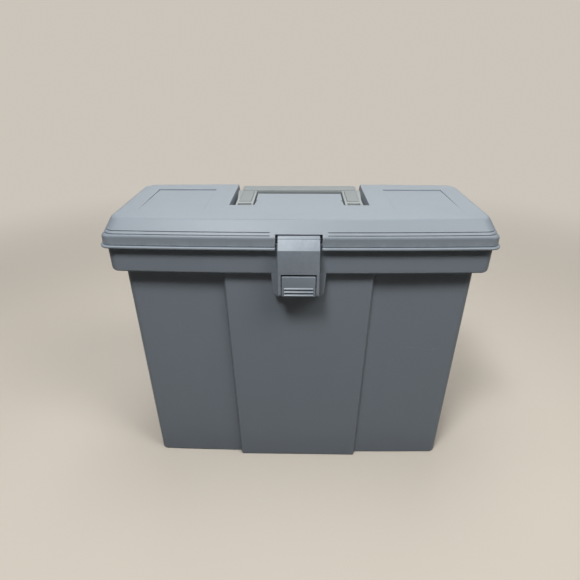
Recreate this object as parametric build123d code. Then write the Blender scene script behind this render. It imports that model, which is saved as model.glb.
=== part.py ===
from build123d import *
import math
import os

# A portable file box for hanging folders, in millimetres, seen as it stands.
# +Z is up, -Y is the front with the latch, and the origin is the middle of the base.

# Driving dimensions of the tub
WALL = 2.5
BOW = 2.2
BASE_HALF_X = 154.2
BASE_HALF_Y = 52.1
SHELF_Z = 227.2
SHELF_HALF_X = 160.4
SHELF_HALF_Y = 58.2
SKIRT_HALF_X = 170.6
SKIRT_HALF_Y = 67.3
RIM_Z = 256.0
RIM_HALF_X = 171.3
RIM_HALF_Y = 68.0
WALL_CORNER = 7.0
SKIRT_CORNER = 9.0
BASE_ROUND = 1.6
SKIRT_ROUND = 2.4
RAIL_TOP_Z = 240.0
RAIL_INNER_X = 155.5
RAIL_HALF_LENGTH = 52.0

# Raised middle panel of the front and the back
PANEL_PROUD = 4.6
PANEL_SIDE = 2.6
PANEL_TOP_HALF = 67.6
PANEL_BASE_HALF = 61.6
PANEL_EDGE = 1.2

# Latch boss on the front of the tub
BOSS_HALF_X = 24.6
BOSS_FOOT_HALF_X = 22.9
BOSS_BOTTOM_Z = 204.5
BOSS_TOP_Z = 235.2
BOSS_CHAMFER = 3.6
NOSE_HALF_X = 11.0
NOSE_TIP_Y = -75.4
NOSE_UNDER_Z = 227.2
NOSE_TIP_HEIGHT = 2.4
NOSE_RAMP_Z = 234.7
NOSE_ROOT = 1.0

# Lid
LID_BOW = 4.0
LIP_Z = 250.8
LIP_TOP_Z = 253.2
LIP_HALF_X = 175.6
LIP_HALF_Y = 72.4
FACE_HALF_X = 174.2
FACE_HALF_Y = 70.8
SLOPE_Z = 262.4
SLOPE_HALF_X = 172.1
TOP_Z = 275.0
TOP_HALF_X = 166.8
TOP_HALF_Y = 59.6
LID_CORNER = 10.0
SEAT_GAP = 0.3
SEAT_THICK = 2.0
RIM_WALL = 2.2
HOLLOW_HALF_X = 169.7
HOLLOW_HALF_Y = 66.4
HOLLOW_CORNER = 7.0
CROWN_WALL = 1.6
CREASE_ROUND = 2.4
FACE_ROUND = 1.2
LIP_ROUND = 0.8
SLOPE_FOOT = 0.6
GROOVE_HEIGHTS = (265.7, 263.4)
GROOVE_WIDTH = 0.9
GROOVE_DEPTH = 0.8
GROOVE_INNER_X = 25.0
GROOVE_OUTER_X = 169.5

# Shallow panels in the lid's top, deepest at the back
TRAY_INNER_X = 87.4
TRAY_OUTER_X = 148.2
TRAY_FRONT_Y = -43.0
TRAY_BACK_Y = 40.5
TRAY_DEPTH = 1.1

# Handle and its recess
RECESS_HALF_X = 66.2
RECESS_FRONT_Y = -18.2
RECESS_FLOOR_Z = 260.2
RECESS_SKIN = 2.4
BLOCK_HALF_X = 42.3
BLOCK_BACK_Y = 23.8
HANDLE_HALF_X = 59.2
HANDLE_INNER_X = 43.8
HANDLE_FRONT_Y = -14.3
GRIP_FRONT_Y = 37.4
HANDLE_BACK_Y = 58.2
HANDLE_BOTTOM_Z = 263.5
HANDLE_TOP_Z = 274.2
PAD_HEIGHT = 0.6
PAD_BORDER = 1.3
HANDLE_SKIN = 2.4
HANDLE_ROUND = 1.0
GRIP_CORNER = 3.0
GRIP_INNER_CORNER = 2.0
GRIP_POCKETS = 5
POCKET_RIB = 1.6
LEG_POCKET_START = 8.0
PAD_SEAM = 0.6
PAD_ROUND = 0.5
HANDLE_AXIS_Y = -3.5
HANDLE_AXIS_Z = 268.3
STUB_RADIUS = 3.0
STUB_END_X = 41.2
SOCKET_DEPTH = 1.4
SOCKET_GAP = 0.1
SOCKET_PINCH = 0.4
TAIL_WELL_Z = 255.9
TAIL_WELL_BACK_Y = 1.5

# Latch arm, hung from a pin in the lid's notch
NOTCH_HALF_X = 20.2
NOTCH_TOP_Z = 264.6
NOTCH_BACK_Y = -68.8
CHEEK_WALL = 3.2
LATCH_AXIS_Y = -72.4
LATCH_AXIS_Z = 260.3
LATCH_BARREL = 2.6
ARM_HALF_X = 18.2
ARM_CHEEK = 2.6
ARM_FRONT_Y = -81.8
ARM_PLATE = 2.3
ARM_MITRE = 1.0
ARM_BACK_Y = -72.8
CREASE_Z = 253.1
WINDOW_TOP_Z = 230.2
ARM_BOTTOM_Z = 210.4
ARM_ROUND = 1.0
CROSSBAR_FRONT_Y = -75.2
CROSSBAR_BACK_Y = -73.8
CROSSBAR_TOP_Z = 214.1

# Release button, a rocker in the arm's window
BUTTON_HALF_X = 14.9
BUTTON_TOP_Z = 229.1
BUTTON_BOTTOM_Z = 209.4
BUTTON_PLATE = 2.4
BUTTON_AXIS_Y = -77.4
BUTTON_AXIS_Z = 217.7
BUTTON_BARREL = 2.3
BUTTON_ROUND = 1.0
RIB_COUNT = 3
RIB_PITCH = 3.2
RIB_LOWEST_Z = 211.3
RIB_RADIUS = 0.9
RIB_HALF_X = 12.9
RIB_ROUND = 0.5
WELD = 0.5
TOOTH_HALF_X = 9.5
TOOTH_TIP_Y = -75.7
TOOTH_TOP_Z = 226.9
TOOTH_TIP_HEIGHT = 1.6
TOOTH_ROOT_Z = 221.2
SPRING_HALF_X = 4.0
SPRING_THICK = 0.4
SPRING_TIP_Z = 211.7
SPRING_REST_GAP = 0.1
SPRING_FOOT = 0.3
SPRING_FOLD = 0.2

# Pins and rear hinges
SMALL_PIN_RADIUS = 1.0
RUNNING_GAP = 0.05
HELD_GAP = 0.02
LATCH_PIN_HALF = 22.9
BUTTON_PIN_HALF = 18.0
HINGE_PIN_RADIUS = 1.5
HINGE_X = 105.0
HINGE_AXIS_Y = 75.5
HINGE_AXIS_Z = 247.0
HINGE_BARREL = 4.2
BRACKET_FOOT_Z = 235.75
BRACKET_ROOT = 1.0
TUB_KNUCKLE_HALF = 12.0
LID_KNUCKLE = 9.5
KNUCKLE_GAP = 0.4
LUG_ROOT = 0.5
LUG_TOP_Z = 258.4
LUG_CROWN = 1.0
HINGE_PIN_SHORT = 0.6
HEEL_REACH_Y = 5.2
HEEL_DROP_Z = 3.0
HEEL_HALF_WIDTH = 1.2

OVERSHOOT = 20.0
TOUCH = 0.01


def plan_face(half_x, half_y, corner, height, bow):
    """Level outline with a gently bowed front and back and rounded corners."""
    front = ThreePointArc((-half_x, -half_y), (0, -half_y - bow), (half_x, -half_y))
    right = Line((half_x, -half_y), (half_x, half_y))
    back = ThreePointArc((half_x, half_y), (0, half_y + bow), (-half_x, half_y))
    left = Line((-half_x, half_y), (-half_x, -half_y))
    outline = make_face([front, right, back, left])
    rounded = fillet(outline.vertices(), corner)
    return Pos(0, 0, height) * rounded


def drafted(low, high, corner, bow=BOW):
    """Solid between two outlines, each given as (half_x, half_y, height)."""
    lower = plan_face(low[0], low[1], corner, low[2], bow)
    upper = plan_face(high[0], high[1], corner, high[2], bow)
    return loft([lower.face(), upper.face()], ruled=True)


def block(x_low, x_high, y_low, y_high, z_low, z_high):
    """Rectangular solid between two corners."""
    size = (x_high - x_low, y_high - y_low, z_high - z_low)
    middle = ((x_low + x_high) / 2, (y_low + y_high) / 2, (z_low + z_high) / 2)
    return Pos(*middle) * Box(*size)


def side_profile(points, x_low, x_high):
    """Outline drawn in the Y-Z plane and carried along X."""
    corners = [(x_low, y, z) for y, z in points]
    face = make_face(Polyline(*corners, close=True))
    return extrude(face, x_high - x_low, dir=(1, 0, 0))


def rod(radius, y, z, x_low, x_high):
    """Round bar along X."""
    upright = Cylinder(radius, x_high - x_low, rotation=(0, 90, 0))
    return Pos((x_low + x_high) / 2, y, z) * upright


def bar(start, end, half_width, x_low, x_high):
    """Straight bar between two (y, z) points, with parallel sides, carried along X."""
    run_y = end[0] - start[0]
    run_z = end[1] - start[1]
    length = math.hypot(run_y, run_z)
    off_y = -run_z / length * half_width
    off_z = run_y / length * half_width
    corners = [
        (start[0] + off_y, start[1] + off_z),
        (end[0] + off_y, end[1] + off_z),
        (end[0] - off_y, end[1] - off_z),
        (start[0] - off_y, start[1] - off_z),
    ]
    return side_profile(corners, x_low, x_high)


def tangent_point(centre, radius, outside):
    """Upper point where a line from an outside (y, z) point touches a circle."""
    reach_y = outside[0] - centre[0]
    reach_z = outside[1] - centre[1]
    lean = math.atan2(reach_z, reach_y)
    spread = math.acos(radius / math.hypot(reach_y, reach_z))
    angle = lean - spread
    return (centre[0] + radius * math.cos(angle), centre[1] + radius * math.sin(angle))


def panel_block(inset, z_low, z_high, side):
    """Raised middle panel on one side: a flat-faced block with sloping flanks."""
    sections = []
    for height in (z_low, z_high):
        share = height / SHELF_Z
        wall_y = BASE_HALF_Y + (SHELF_HALF_Y - BASE_HALF_Y) * share
        half = PANEL_BASE_HALF + (PANEL_TOP_HALF - PANEL_BASE_HALF) * share - inset
        face_y = wall_y + BOW + PANEL_PROUD - inset
        root_y = wall_y - WALL - inset
        foot = half + PANEL_SIDE
        points = [(-foot, root_y), (-half, face_y), (half, face_y), (foot, root_y)]
        corners = [(x, side * y, height) for x, y in points]
        sections.append(make_face(Polyline(*corners, close=True)).face())
    return loft(sections, ruled=True)


def make_tub():
    """Tub: drafted walls, skirt and shelf, rails, middle panels, boss and hinge brackets."""
    base = (BASE_HALF_X, BASE_HALF_Y, 0)
    shelf = (SHELF_HALF_X, SHELF_HALF_Y, SHELF_Z)
    tub = drafted(base, shelf, WALL_CORNER)
    bottom_edges = tub.edges().group_by(Axis.Z)[0]
    tub = fillet(bottom_edges, BASE_ROUND)
    skirt = drafted(
        (SKIRT_HALF_X, SKIRT_HALF_Y, SHELF_Z),
        (RIM_HALF_X, RIM_HALF_Y, RIM_Z),
        SKIRT_CORNER,
    )
    skirt = fillet(skirt.edges().group_by(Axis.Z)[0], SKIRT_ROUND)
    tub += skirt
    for side in (-1, 1):
        panel = panel_block(0, 0, SHELF_Z + 1, side)
        uprights = panel.edges().filter_by(lambda edge: edge.length > SHELF_Z).sort_by(Axis.Y)
        outer = uprights[:2] if side < 0 else uprights[-2:]
        tub += fillet(outer, PANEL_EDGE)

    # The boss carries on down from the skirt's front face
    boss_front = -(SKIRT_HALF_Y + BOW)
    outline = [
        (-BOSS_HALF_X, BOSS_TOP_Z),
        (-BOSS_HALF_X, SHELF_Z),
        (-BOSS_FOOT_HALF_X, BOSS_BOTTOM_Z + BOSS_CHAMFER),
        (-BOSS_FOOT_HALF_X + BOSS_CHAMFER, BOSS_BOTTOM_Z),
    ]
    mirrored = [(-x, z) for x, z in reversed(outline)]
    corners = [(x, boss_front, z) for x, z in outline + mirrored]
    boss = make_face(Polyline(*corners, close=True))
    tub += extrude(boss, -SHELF_HALF_Y - boss_front, dir=(0, 1, 0))

    # Hollow: main cavity, the space inside the skirt above the shelf, and the panels' reliefs
    tub -= drafted(
        (BASE_HALF_X - WALL, BASE_HALF_Y - WALL, WALL),
        (SHELF_HALF_X - WALL, SHELF_HALF_Y - WALL, SHELF_Z + WALL + 1),
        WALL_CORNER - WALL,
    )
    tub -= drafted(
        (SKIRT_HALF_X - WALL, SKIRT_HALF_Y - WALL, SHELF_Z + WALL),
        (RIM_HALF_X - WALL, RIM_HALF_Y - WALL, RIM_Z + 1),
        SKIRT_CORNER - WALL,
    )
    for side in (-1, 1):
        tub -= panel_block(WALL, WALL, SHELF_Z + WALL + 1, side)

    # Two rails along the short sides carry the hooks of the hanging folders
    for side in (-1, 1):
        near = side * RAIL_INNER_X
        far = side * SHELF_HALF_X
        tub += block(
            min(near, far), max(near, far), -RAIL_HALF_LENGTH, RAIL_HALF_LENGTH, SHELF_Z, RAIL_TOP_Z
        )

    # Catch nose on the boss, ramped above and flat below
    root_y = boss_front + NOSE_ROOT
    nose = [
        (root_y, NOSE_UNDER_Z),
        (NOSE_TIP_Y, NOSE_UNDER_Z),
        (NOSE_TIP_Y, NOSE_UNDER_Z + NOSE_TIP_HEIGHT),
        (root_y, NOSE_RAMP_Z),
    ]
    tub += side_profile(nose, -NOSE_HALF_X, NOSE_HALF_X)

    # One wide knuckle for each rear hinge, on a bracket that slopes out of the skirt
    for side in (-1, 1):
        x_low = side * HINGE_X - TUB_KNUCKLE_HALF
        x_high = side * HINGE_X + TUB_KNUCKLE_HALF
        wall_y = SKIRT_HALF_Y - BRACKET_ROOT
        bracket = [
            (wall_y, BRACKET_FOOT_Z),
            (HINGE_AXIS_Y, HINGE_AXIS_Z - HINGE_BARREL),
            (HINGE_AXIS_Y, HINGE_AXIS_Z),
            (wall_y, HINGE_AXIS_Z),
        ]
        tub += side_profile(bracket, x_low, x_high)
        tub += rod(HINGE_BARREL, HINGE_AXIS_Y, HINGE_AXIS_Z, x_low, x_high)
        hole = HINGE_PIN_RADIUS + RUNNING_GAP
        tub -= rod(hole, HINGE_AXIS_Y, HINGE_AXIS_Z, x_low - 1, x_high + 1)
    return tub


def lid_outside():
    """Outer form of the lid: lip bead, upright rim face and the sloping upper part."""
    lip_low = (LIP_HALF_X, LIP_HALF_Y, LIP_Z)
    lip_high = (LIP_HALF_X, LIP_HALF_Y, LIP_TOP_Z)
    lip = drafted(lip_low, lip_high, LID_CORNER, LID_BOW)
    lip = fillet(lip.edges().group_by(Axis.Z)[0] + lip.edges().group_by(Axis.Z)[-1], LIP_ROUND)
    face_low = (FACE_HALF_X, FACE_HALF_Y, LIP_Z)
    face_high = (FACE_HALF_X, FACE_HALF_Y, SLOPE_Z)
    rim = drafted(face_low, face_high, LID_CORNER, LID_BOW)
    rim = fillet(rim.edges().group_by(Axis.Z)[-1], FACE_ROUND)
    upper = drafted(
        (SLOPE_HALF_X, FACE_HALF_Y, SLOPE_Z - SLOPE_FOOT),
        (TOP_HALF_X, TOP_HALF_Y, TOP_Z),
        LID_CORNER,
        LID_BOW,
    )
    upper = fillet(upper.edges().group_by(Axis.Z)[-1], CREASE_ROUND)
    return lip + rim + upper


def groove_cut(height):
    """Fine groove that follows the front slope, on both sides of the latch."""
    reach = FACE_HALF_Y + OVERSHOOT
    low = height - GROOVE_WIDTH / 2
    high = height + GROOVE_WIDTH / 2
    band = block(-GROOVE_OUTER_X, GROOVE_OUTER_X, -reach, -TOP_HALF_Y, low, high)
    band -= block(-GROOVE_INNER_X, GROOVE_INNER_X, -reach, 0, low - 1, high + 1)
    core = drafted(
        (SLOPE_HALF_X - GROOVE_DEPTH, FACE_HALF_Y - GROOVE_DEPTH, SLOPE_Z - SLOPE_FOOT),
        (TOP_HALF_X - GROOVE_DEPTH, TOP_HALF_Y - GROOVE_DEPTH, TOP_Z),
        LID_CORNER - GROOVE_DEPTH,
        LID_BOW,
    )
    return band - core


def make_lid():
    """Lid: shell with grooves, shallow trays, handle recess, latch notch and hinge knuckles."""
    outside = lid_outside()
    seat_z = RIM_Z + SEAT_GAP
    collar = (FACE_HALF_X - RIM_WALL, FACE_HALF_Y - RIM_WALL)
    hollow = (HOLLOW_HALF_X, HOLLOW_HALF_Y)
    crown = (TOP_HALF_X - WALL, TOP_HALF_Y - CROWN_WALL, TOP_Z - WALL)
    seat_top = seat_z + SEAT_THICK
    lid = outside
    lid -= drafted((*collar, LIP_Z - 1), (*collar, seat_z), LID_CORNER - RIM_WALL, LID_BOW)
    lid -= drafted((*hollow, seat_z - 1), (*hollow, SLOPE_Z), HOLLOW_CORNER)
    lid -= drafted((*hollow, seat_top), (*hollow, SLOPE_Z), HOLLOW_CORNER, LID_BOW)
    lid -= drafted((*hollow, SLOPE_Z), crown, HOLLOW_CORNER, LID_BOW)

    # Skins around the handle recess, the two tail wells and the latch notch
    skin = RECESS_SKIN
    recess_skin = block(
        -RECESS_HALF_X - skin, RECESS_HALF_X + skin,
        RECESS_FRONT_Y - skin, LIP_HALF_Y + OVERSHOOT,
        RECESS_FLOOR_Z - skin, TOP_Z,
    )
    lid += recess_skin & outside
    for side in (-1, 1):
        near = side * (BLOCK_HALF_X - skin)
        far = side * (RECESS_HALF_X + skin)
        lid += block(
            min(near, far), max(near, far),
            RECESS_FRONT_Y - skin, TAIL_WELL_BACK_Y + skin,
            TAIL_WELL_Z - skin, RECESS_FLOOR_Z,
        )
    notch_skin = block(
        -NOTCH_HALF_X - CHEEK_WALL, NOTCH_HALF_X + CHEEK_WALL,
        -LIP_HALF_Y - OVERSHOOT, NOTCH_BACK_Y + skin,
        seat_z, NOTCH_TOP_Z + skin,
    )
    lid += notch_skin & outside

    # Space for the handle, round a middle block that stays level with the top
    recess = block(
        -RECESS_HALF_X, RECESS_HALF_X, RECESS_FRONT_Y, LIP_HALF_Y + OVERSHOOT,
        RECESS_FLOOR_Z, TOP_Z + 1,
    )
    recess -= block(
        -BLOCK_HALF_X, BLOCK_HALF_X, RECESS_FRONT_Y - 1, BLOCK_BACK_Y, RECESS_FLOOR_Z - 1, TOP_Z + 2
    )
    lid -= recess
    lid -= block(
        -BLOCK_HALF_X + skin, BLOCK_HALF_X - skin,
        RECESS_FRONT_Y - skin - 1, BLOCK_BACK_Y - skin,
        RECESS_FLOOR_Z - skin - 1, TOP_Z - WALL,
    )
    for side in (-1, 1):
        near = side * BLOCK_HALF_X
        far = side * RECESS_HALF_X
        lid -= block(
            min(near, far), max(near, far), RECESS_FRONT_Y, TAIL_WELL_BACK_Y,
            TAIL_WELL_Z, RECESS_FLOOR_Z + 1,
        )
        # Open-topped socket that the handle's stub snaps down into
        deep = side * (BLOCK_HALF_X - SOCKET_DEPTH)
        socket_x = (min(deep, near), max(deep, near))
        lid -= rod(STUB_RADIUS + SOCKET_GAP, HANDLE_AXIS_Y, HANDLE_AXIS_Z, *socket_x)
        throat = STUB_RADIUS - SOCKET_PINCH
        lid -= block(
            *socket_x, HANDLE_AXIS_Y - throat, HANDLE_AXIS_Y + throat, HANDLE_AXIS_Z, TOP_Z + 1
        )

    # Latch notch through the front of the rim, and the pin's holes in its cheeks
    lid -= block(
        -NOTCH_HALF_X, NOTCH_HALF_X, -LIP_HALF_Y - OVERSHOOT, NOTCH_BACK_Y, LIP_Z - 1, NOTCH_TOP_Z
    )
    lid -= rod(
        SMALL_PIN_RADIUS + HELD_GAP, LATCH_AXIS_Y, LATCH_AXIS_Z,
        -LATCH_PIN_HALF - SOCKET_GAP, LATCH_PIN_HALF + SOCKET_GAP,
    )

    for height in GROOVE_HEIGHTS:
        lid -= groove_cut(height)

    # Shallow trays, level with the top at the front and deepest at the back
    tray = [
        (TRAY_FRONT_Y, TOP_Z),
        (TRAY_BACK_Y, TOP_Z - TRAY_DEPTH),
        (TRAY_BACK_Y, TOP_Z + 1),
        (TRAY_FRONT_Y, TOP_Z + 1),
    ]
    lid -= side_profile(tray, TRAY_INNER_X, TRAY_OUTER_X)
    lid -= side_profile(tray, -TRAY_OUTER_X, -TRAY_INNER_X)

    # A pair of knuckles on each hinge, with a heel that meets the skirt when the lid is open
    for side in (-1, 1):
        relief = TUB_KNUCKLE_HALF + KNUCKLE_GAP
        lid -= rod(
            HINGE_BARREL + KNUCKLE_GAP, HINGE_AXIS_Y, HINGE_AXIS_Z,
            side * HINGE_X - relief, side * HINGE_X + relief,
        )
        for flank in (-1, 1):
            inner = side * HINGE_X + flank * (TUB_KNUCKLE_HALF + KNUCKLE_GAP)
            outer = inner + flank * LID_KNUCKLE
            x_range = (min(inner, outer), max(inner, outer))
            lug = [
                (FACE_HALF_Y - LUG_ROOT, LIP_Z),
                (HINGE_AXIS_Y - HINGE_BARREL, HINGE_AXIS_Z),
                (HINGE_AXIS_Y + HINGE_BARREL, HINGE_AXIS_Z),
                (HINGE_AXIS_Y + LUG_CROWN, LUG_TOP_Z),
                (FACE_HALF_Y - LUG_ROOT, LUG_TOP_Z),
            ]
            axis = (HINGE_AXIS_Y, HINGE_AXIS_Z)
            heel = (HINGE_AXIS_Y + HEEL_REACH_Y, HINGE_AXIS_Z - HEEL_DROP_Z)
            lid += side_profile(lug, *x_range)
            lid += bar(axis, heel, HEEL_HALF_WIDTH, *x_range)
            lid += rod(HINGE_BARREL, *axis, *x_range)
            lid += rod(HEEL_HALF_WIDTH, *heel, *x_range)
            hole = HINGE_PIN_RADIUS + HELD_GAP
            lid -= rod(hole, *axis, x_range[0] - 1, x_range[1] + 1)
    return lid


def make_handle():
    """Handle: U of two legs and a grip, raised pads on top, ribbed pockets underneath."""
    outer = block(
        -HANDLE_HALF_X, HANDLE_HALF_X, HANDLE_FRONT_Y, HANDLE_BACK_Y, HANDLE_BOTTOM_Z, HANDLE_TOP_Z
    )
    outer = fillet(outer.edges().filter_by(Axis.Z).group_by(Axis.Y)[-1], GRIP_CORNER)
    inner = block(
        -HANDLE_INNER_X, HANDLE_INNER_X, HANDLE_FRONT_Y - 1, GRIP_FRONT_Y,
        HANDLE_BOTTOM_Z - 1, HANDLE_TOP_Z + 1,
    )
    inner = fillet(inner.edges().filter_by(Axis.Z).group_by(Axis.Y)[-1], GRIP_INNER_CORNER)
    handle = outer - inner
    handle = fillet(handle.faces().sort_by(Axis.Z)[-1].edges(), HANDLE_ROUND)
    handle = fillet(handle.faces().sort_by(Axis.Z)[0].edges(), HANDLE_ROUND)

    # Raised pads on the legs and on the grip, parted by a fine line
    pad_top = HANDLE_TOP_Z + PAD_HEIGHT
    border = PAD_BORDER
    grip_pad = block(
        -HANDLE_HALF_X + border, HANDLE_HALF_X - border,
        GRIP_FRONT_Y + PAD_SEAM, HANDLE_BACK_Y - border, HANDLE_TOP_Z - 1, pad_top,
    )
    handle += fillet(grip_pad.faces().sort_by(Axis.Z)[-1].edges(), PAD_ROUND)
    for side in (-1, 1):
        near = side * (HANDLE_INNER_X + border)
        far = side * (HANDLE_HALF_X - border)
        leg_pad = block(
            min(near, far), max(near, far),
            HANDLE_FRONT_Y + border, GRIP_FRONT_Y - border, HANDLE_TOP_Z - 1, pad_top,
        )
        handle += fillet(leg_pad.faces().sort_by(Axis.Z)[-1].edges(), PAD_ROUND)

    # Pockets from below, with thin ribs left between them
    pocket_top = HANDLE_TOP_Z - HANDLE_SKIN
    pocket_low = HANDLE_BOTTOM_Z - 1
    start = -HANDLE_HALF_X + HANDLE_SKIN
    pitch = (2 * (HANDLE_HALF_X - HANDLE_SKIN) + POCKET_RIB) / GRIP_POCKETS
    for index in range(GRIP_POCKETS):
        left = start + index * pitch
        handle -= block(
            left, left + pitch - POCKET_RIB,
            GRIP_FRONT_Y + HANDLE_SKIN, HANDLE_BACK_Y - HANDLE_SKIN, pocket_low, pocket_top,
        )
    for side in (-1, 1):
        near = side * (HANDLE_INNER_X + HANDLE_SKIN)
        far = side * (HANDLE_HALF_X - HANDLE_SKIN)
        handle -= block(
            min(near, far), max(near, far),
            HANDLE_AXIS_Y + LEG_POCKET_START, GRIP_FRONT_Y, pocket_low, pocket_top,
        )
        stub_x = (side * (HANDLE_INNER_X + 1), side * STUB_END_X)
        handle += rod(STUB_RADIUS, HANDLE_AXIS_Y, HANDLE_AXIS_Z, min(stub_x), max(stub_x))
    return handle


def make_latch_arm():
    """Latch arm: rolled top on its pin, sloping top plate, front plate, cheeks and crossbar."""
    axis = (LATCH_AXIS_Y, LATCH_AXIS_Z)
    slope_top = tangent_point(axis, LATCH_BARREL, (ARM_FRONT_Y, CREASE_Z))
    inner_y = ARM_FRONT_Y + ARM_PLATE
    plate = [
        slope_top,
        (ARM_FRONT_Y, CREASE_Z),
        (ARM_FRONT_Y, WINDOW_TOP_Z),
        (inner_y, WINDOW_TOP_Z),
        (inner_y, CREASE_Z - ARM_MITRE),
        axis,
    ]
    cheek = [
        slope_top,
        (ARM_FRONT_Y, CREASE_Z),
        (ARM_FRONT_Y, ARM_BOTTOM_Z),
        (CROSSBAR_BACK_Y, ARM_BOTTOM_Z),
        (ARM_BACK_Y, CROSSBAR_TOP_Z),
        (ARM_BACK_Y, LATCH_AXIS_Z - LATCH_BARREL),
        axis,
    ]
    arm = side_profile(plate, -ARM_HALF_X, ARM_HALF_X)
    for side in (-1, 1):
        near = side * (ARM_HALF_X - ARM_CHEEK)
        far = side * ARM_HALF_X
        arm += side_profile(cheek, min(near, far), max(near, far))
    along = arm.edges().filter_by(Axis.X)
    on_front = along.filter_by(lambda edge: abs(edge.center().Y - ARM_FRONT_Y) < TOUCH)
    crease = on_front.filter_by(lambda edge: abs(edge.center().Z - CREASE_Z) < TOUCH)
    arm = fillet(crease, ARM_ROUND)
    arm += rod(LATCH_BARREL, *axis, -ARM_HALF_X, ARM_HALF_X)
    arm += block(
        -ARM_HALF_X, ARM_HALF_X, CROSSBAR_FRONT_Y, CROSSBAR_BACK_Y, ARM_BOTTOM_Z, CROSSBAR_TOP_Z
    )
    on_sides = arm.edges().filter_by(lambda edge: abs(abs(edge.center().X) - ARM_HALF_X) < TOUCH)
    front_sides = on_sides.filter_by(lambda edge: edge.center().Y < ARM_FRONT_Y + TOUCH)
    arm = fillet(front_sides, ARM_ROUND)
    hole = SMALL_PIN_RADIUS + RUNNING_GAP
    arm -= rod(hole, LATCH_AXIS_Y, LATCH_AXIS_Z, -ARM_HALF_X - 1, ARM_HALF_X + 1)
    held = SMALL_PIN_RADIUS + HELD_GAP
    arm -= rod(held, BUTTON_AXIS_Y, BUTTON_AXIS_Z, -ARM_HALF_X - 1, ARM_HALF_X + 1)
    return arm


def make_button():
    """Release button: plate with finger ribs, a barrel on its pin and the catch tooth."""
    back_y = ARM_FRONT_Y + BUTTON_PLATE
    plate = block(
        -BUTTON_HALF_X, BUTTON_HALF_X, ARM_FRONT_Y, back_y, BUTTON_BOTTOM_Z, BUTTON_TOP_Z
    )
    button = fillet(plate.faces().sort_by(Axis.Y)[0].edges(), BUTTON_ROUND)
    for index in range(RIB_COUNT):
        rib_z = RIB_LOWEST_Z + index * RIB_PITCH
        rib = rod(RIB_RADIUS, ARM_FRONT_Y, rib_z, -RIB_HALF_X, RIB_HALF_X)
        button += fillet(rib.edges(), RIB_ROUND)
    button += rod(BUTTON_BARREL, BUTTON_AXIS_Y, BUTTON_AXIS_Z, -BUTTON_HALF_X, BUTTON_HALF_X)
    button += block(
        -BUTTON_HALF_X, BUTTON_HALF_X, back_y - WELD, BUTTON_AXIS_Y,
        BUTTON_AXIS_Z - BUTTON_BARREL, BUTTON_AXIS_Z + BUTTON_BARREL,
    )
    tooth = [
        (back_y - WELD, TOOTH_TOP_Z),
        (TOOTH_TIP_Y, TOOTH_TOP_Z),
        (TOOTH_TIP_Y, TOOTH_TOP_Z - TOOTH_TIP_HEIGHT),
        (back_y - WELD, TOOTH_ROOT_Z),
    ]
    button += side_profile(tooth, -TOOTH_HALF_X, TOOTH_HALF_X)
    hole = SMALL_PIN_RADIUS + RUNNING_GAP
    button -= rod(hole, BUTTON_AXIS_Y, BUTTON_AXIS_Z, -BUTTON_HALF_X - 1, BUTTON_HALF_X + 1)
    return button


def make_button_spring():
    """Leaf spring: a foot on the arm's crossbar and a tongue that reaches the button's back."""
    foot_y = CROSSBAR_FRONT_Y - SPRING_THICK
    tip_y = ARM_FRONT_Y + BUTTON_PLATE + SPRING_REST_GAP
    fold_z = CROSSBAR_TOP_Z - SPRING_FOLD
    foot_z = ARM_BOTTOM_Z + SPRING_FOOT
    leaf = [
        (CROSSBAR_FRONT_Y, foot_z),
        (CROSSBAR_FRONT_Y, fold_z + SPRING_THICK / 2),
        (tip_y, SPRING_TIP_Z + SPRING_THICK),
        (tip_y, SPRING_TIP_Z),
        (foot_y, fold_z - SPRING_THICK),
        (foot_y, foot_z),
    ]
    return side_profile(leaf, -SPRING_HALF_X, SPRING_HALF_X)


def hinge_pin(side):
    """Steel pin through one rear hinge."""
    half = TUB_KNUCKLE_HALF + KNUCKLE_GAP + LID_KNUCKLE - HINGE_PIN_SHORT
    centre = side * HINGE_X
    return rod(HINGE_PIN_RADIUS, HINGE_AXIS_Y, HINGE_AXIS_Z, centre - half, centre + half)


pieces = {
    "body_tub": make_tub(),
    "lid": make_lid(),
    "carry_handle": make_handle(),
    "latch_arm": make_latch_arm(),
    "release_button": make_button(),
    "button_spring": make_button_spring(),
    "latch_pin": rod(SMALL_PIN_RADIUS, LATCH_AXIS_Y, LATCH_AXIS_Z, -LATCH_PIN_HALF, LATCH_PIN_HALF),
    "button_pin": rod(SMALL_PIN_RADIUS, BUTTON_AXIS_Y, BUTTON_AXIS_Z, -BUTTON_PIN_HALF, BUTTON_PIN_HALF),
    "hinge_pin_left": hinge_pin(-1),
    "hinge_pin_right": hinge_pin(1),
}

os.makedirs("parts", exist_ok=True)
for name, piece in pieces.items():
    export_step(piece, f"parts/{name}.step")
    print(name, len(piece.solids()), round(piece.volume, 1))
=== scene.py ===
# %% [markdown]
# # A portable file box for hanging folders
# The real object is five plastic mouldings and a few steel pins: a tall tapered tub, a hinged lid, a
# carry handle that lies in the lid, a latch arm on the lid's front edge and a rocking release button.
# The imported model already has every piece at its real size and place. This script gives the pieces
# their finish, and lets surfaces worked out from formulas stand for the tub, lid, handle, latch arm and
# button, and softened copies for the pins. Only the leaf spring, hidden behind the button, stays as is.

import math

import bmesh
import bpy
import numpy as np
from mathutils import Matrix, Vector


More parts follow.
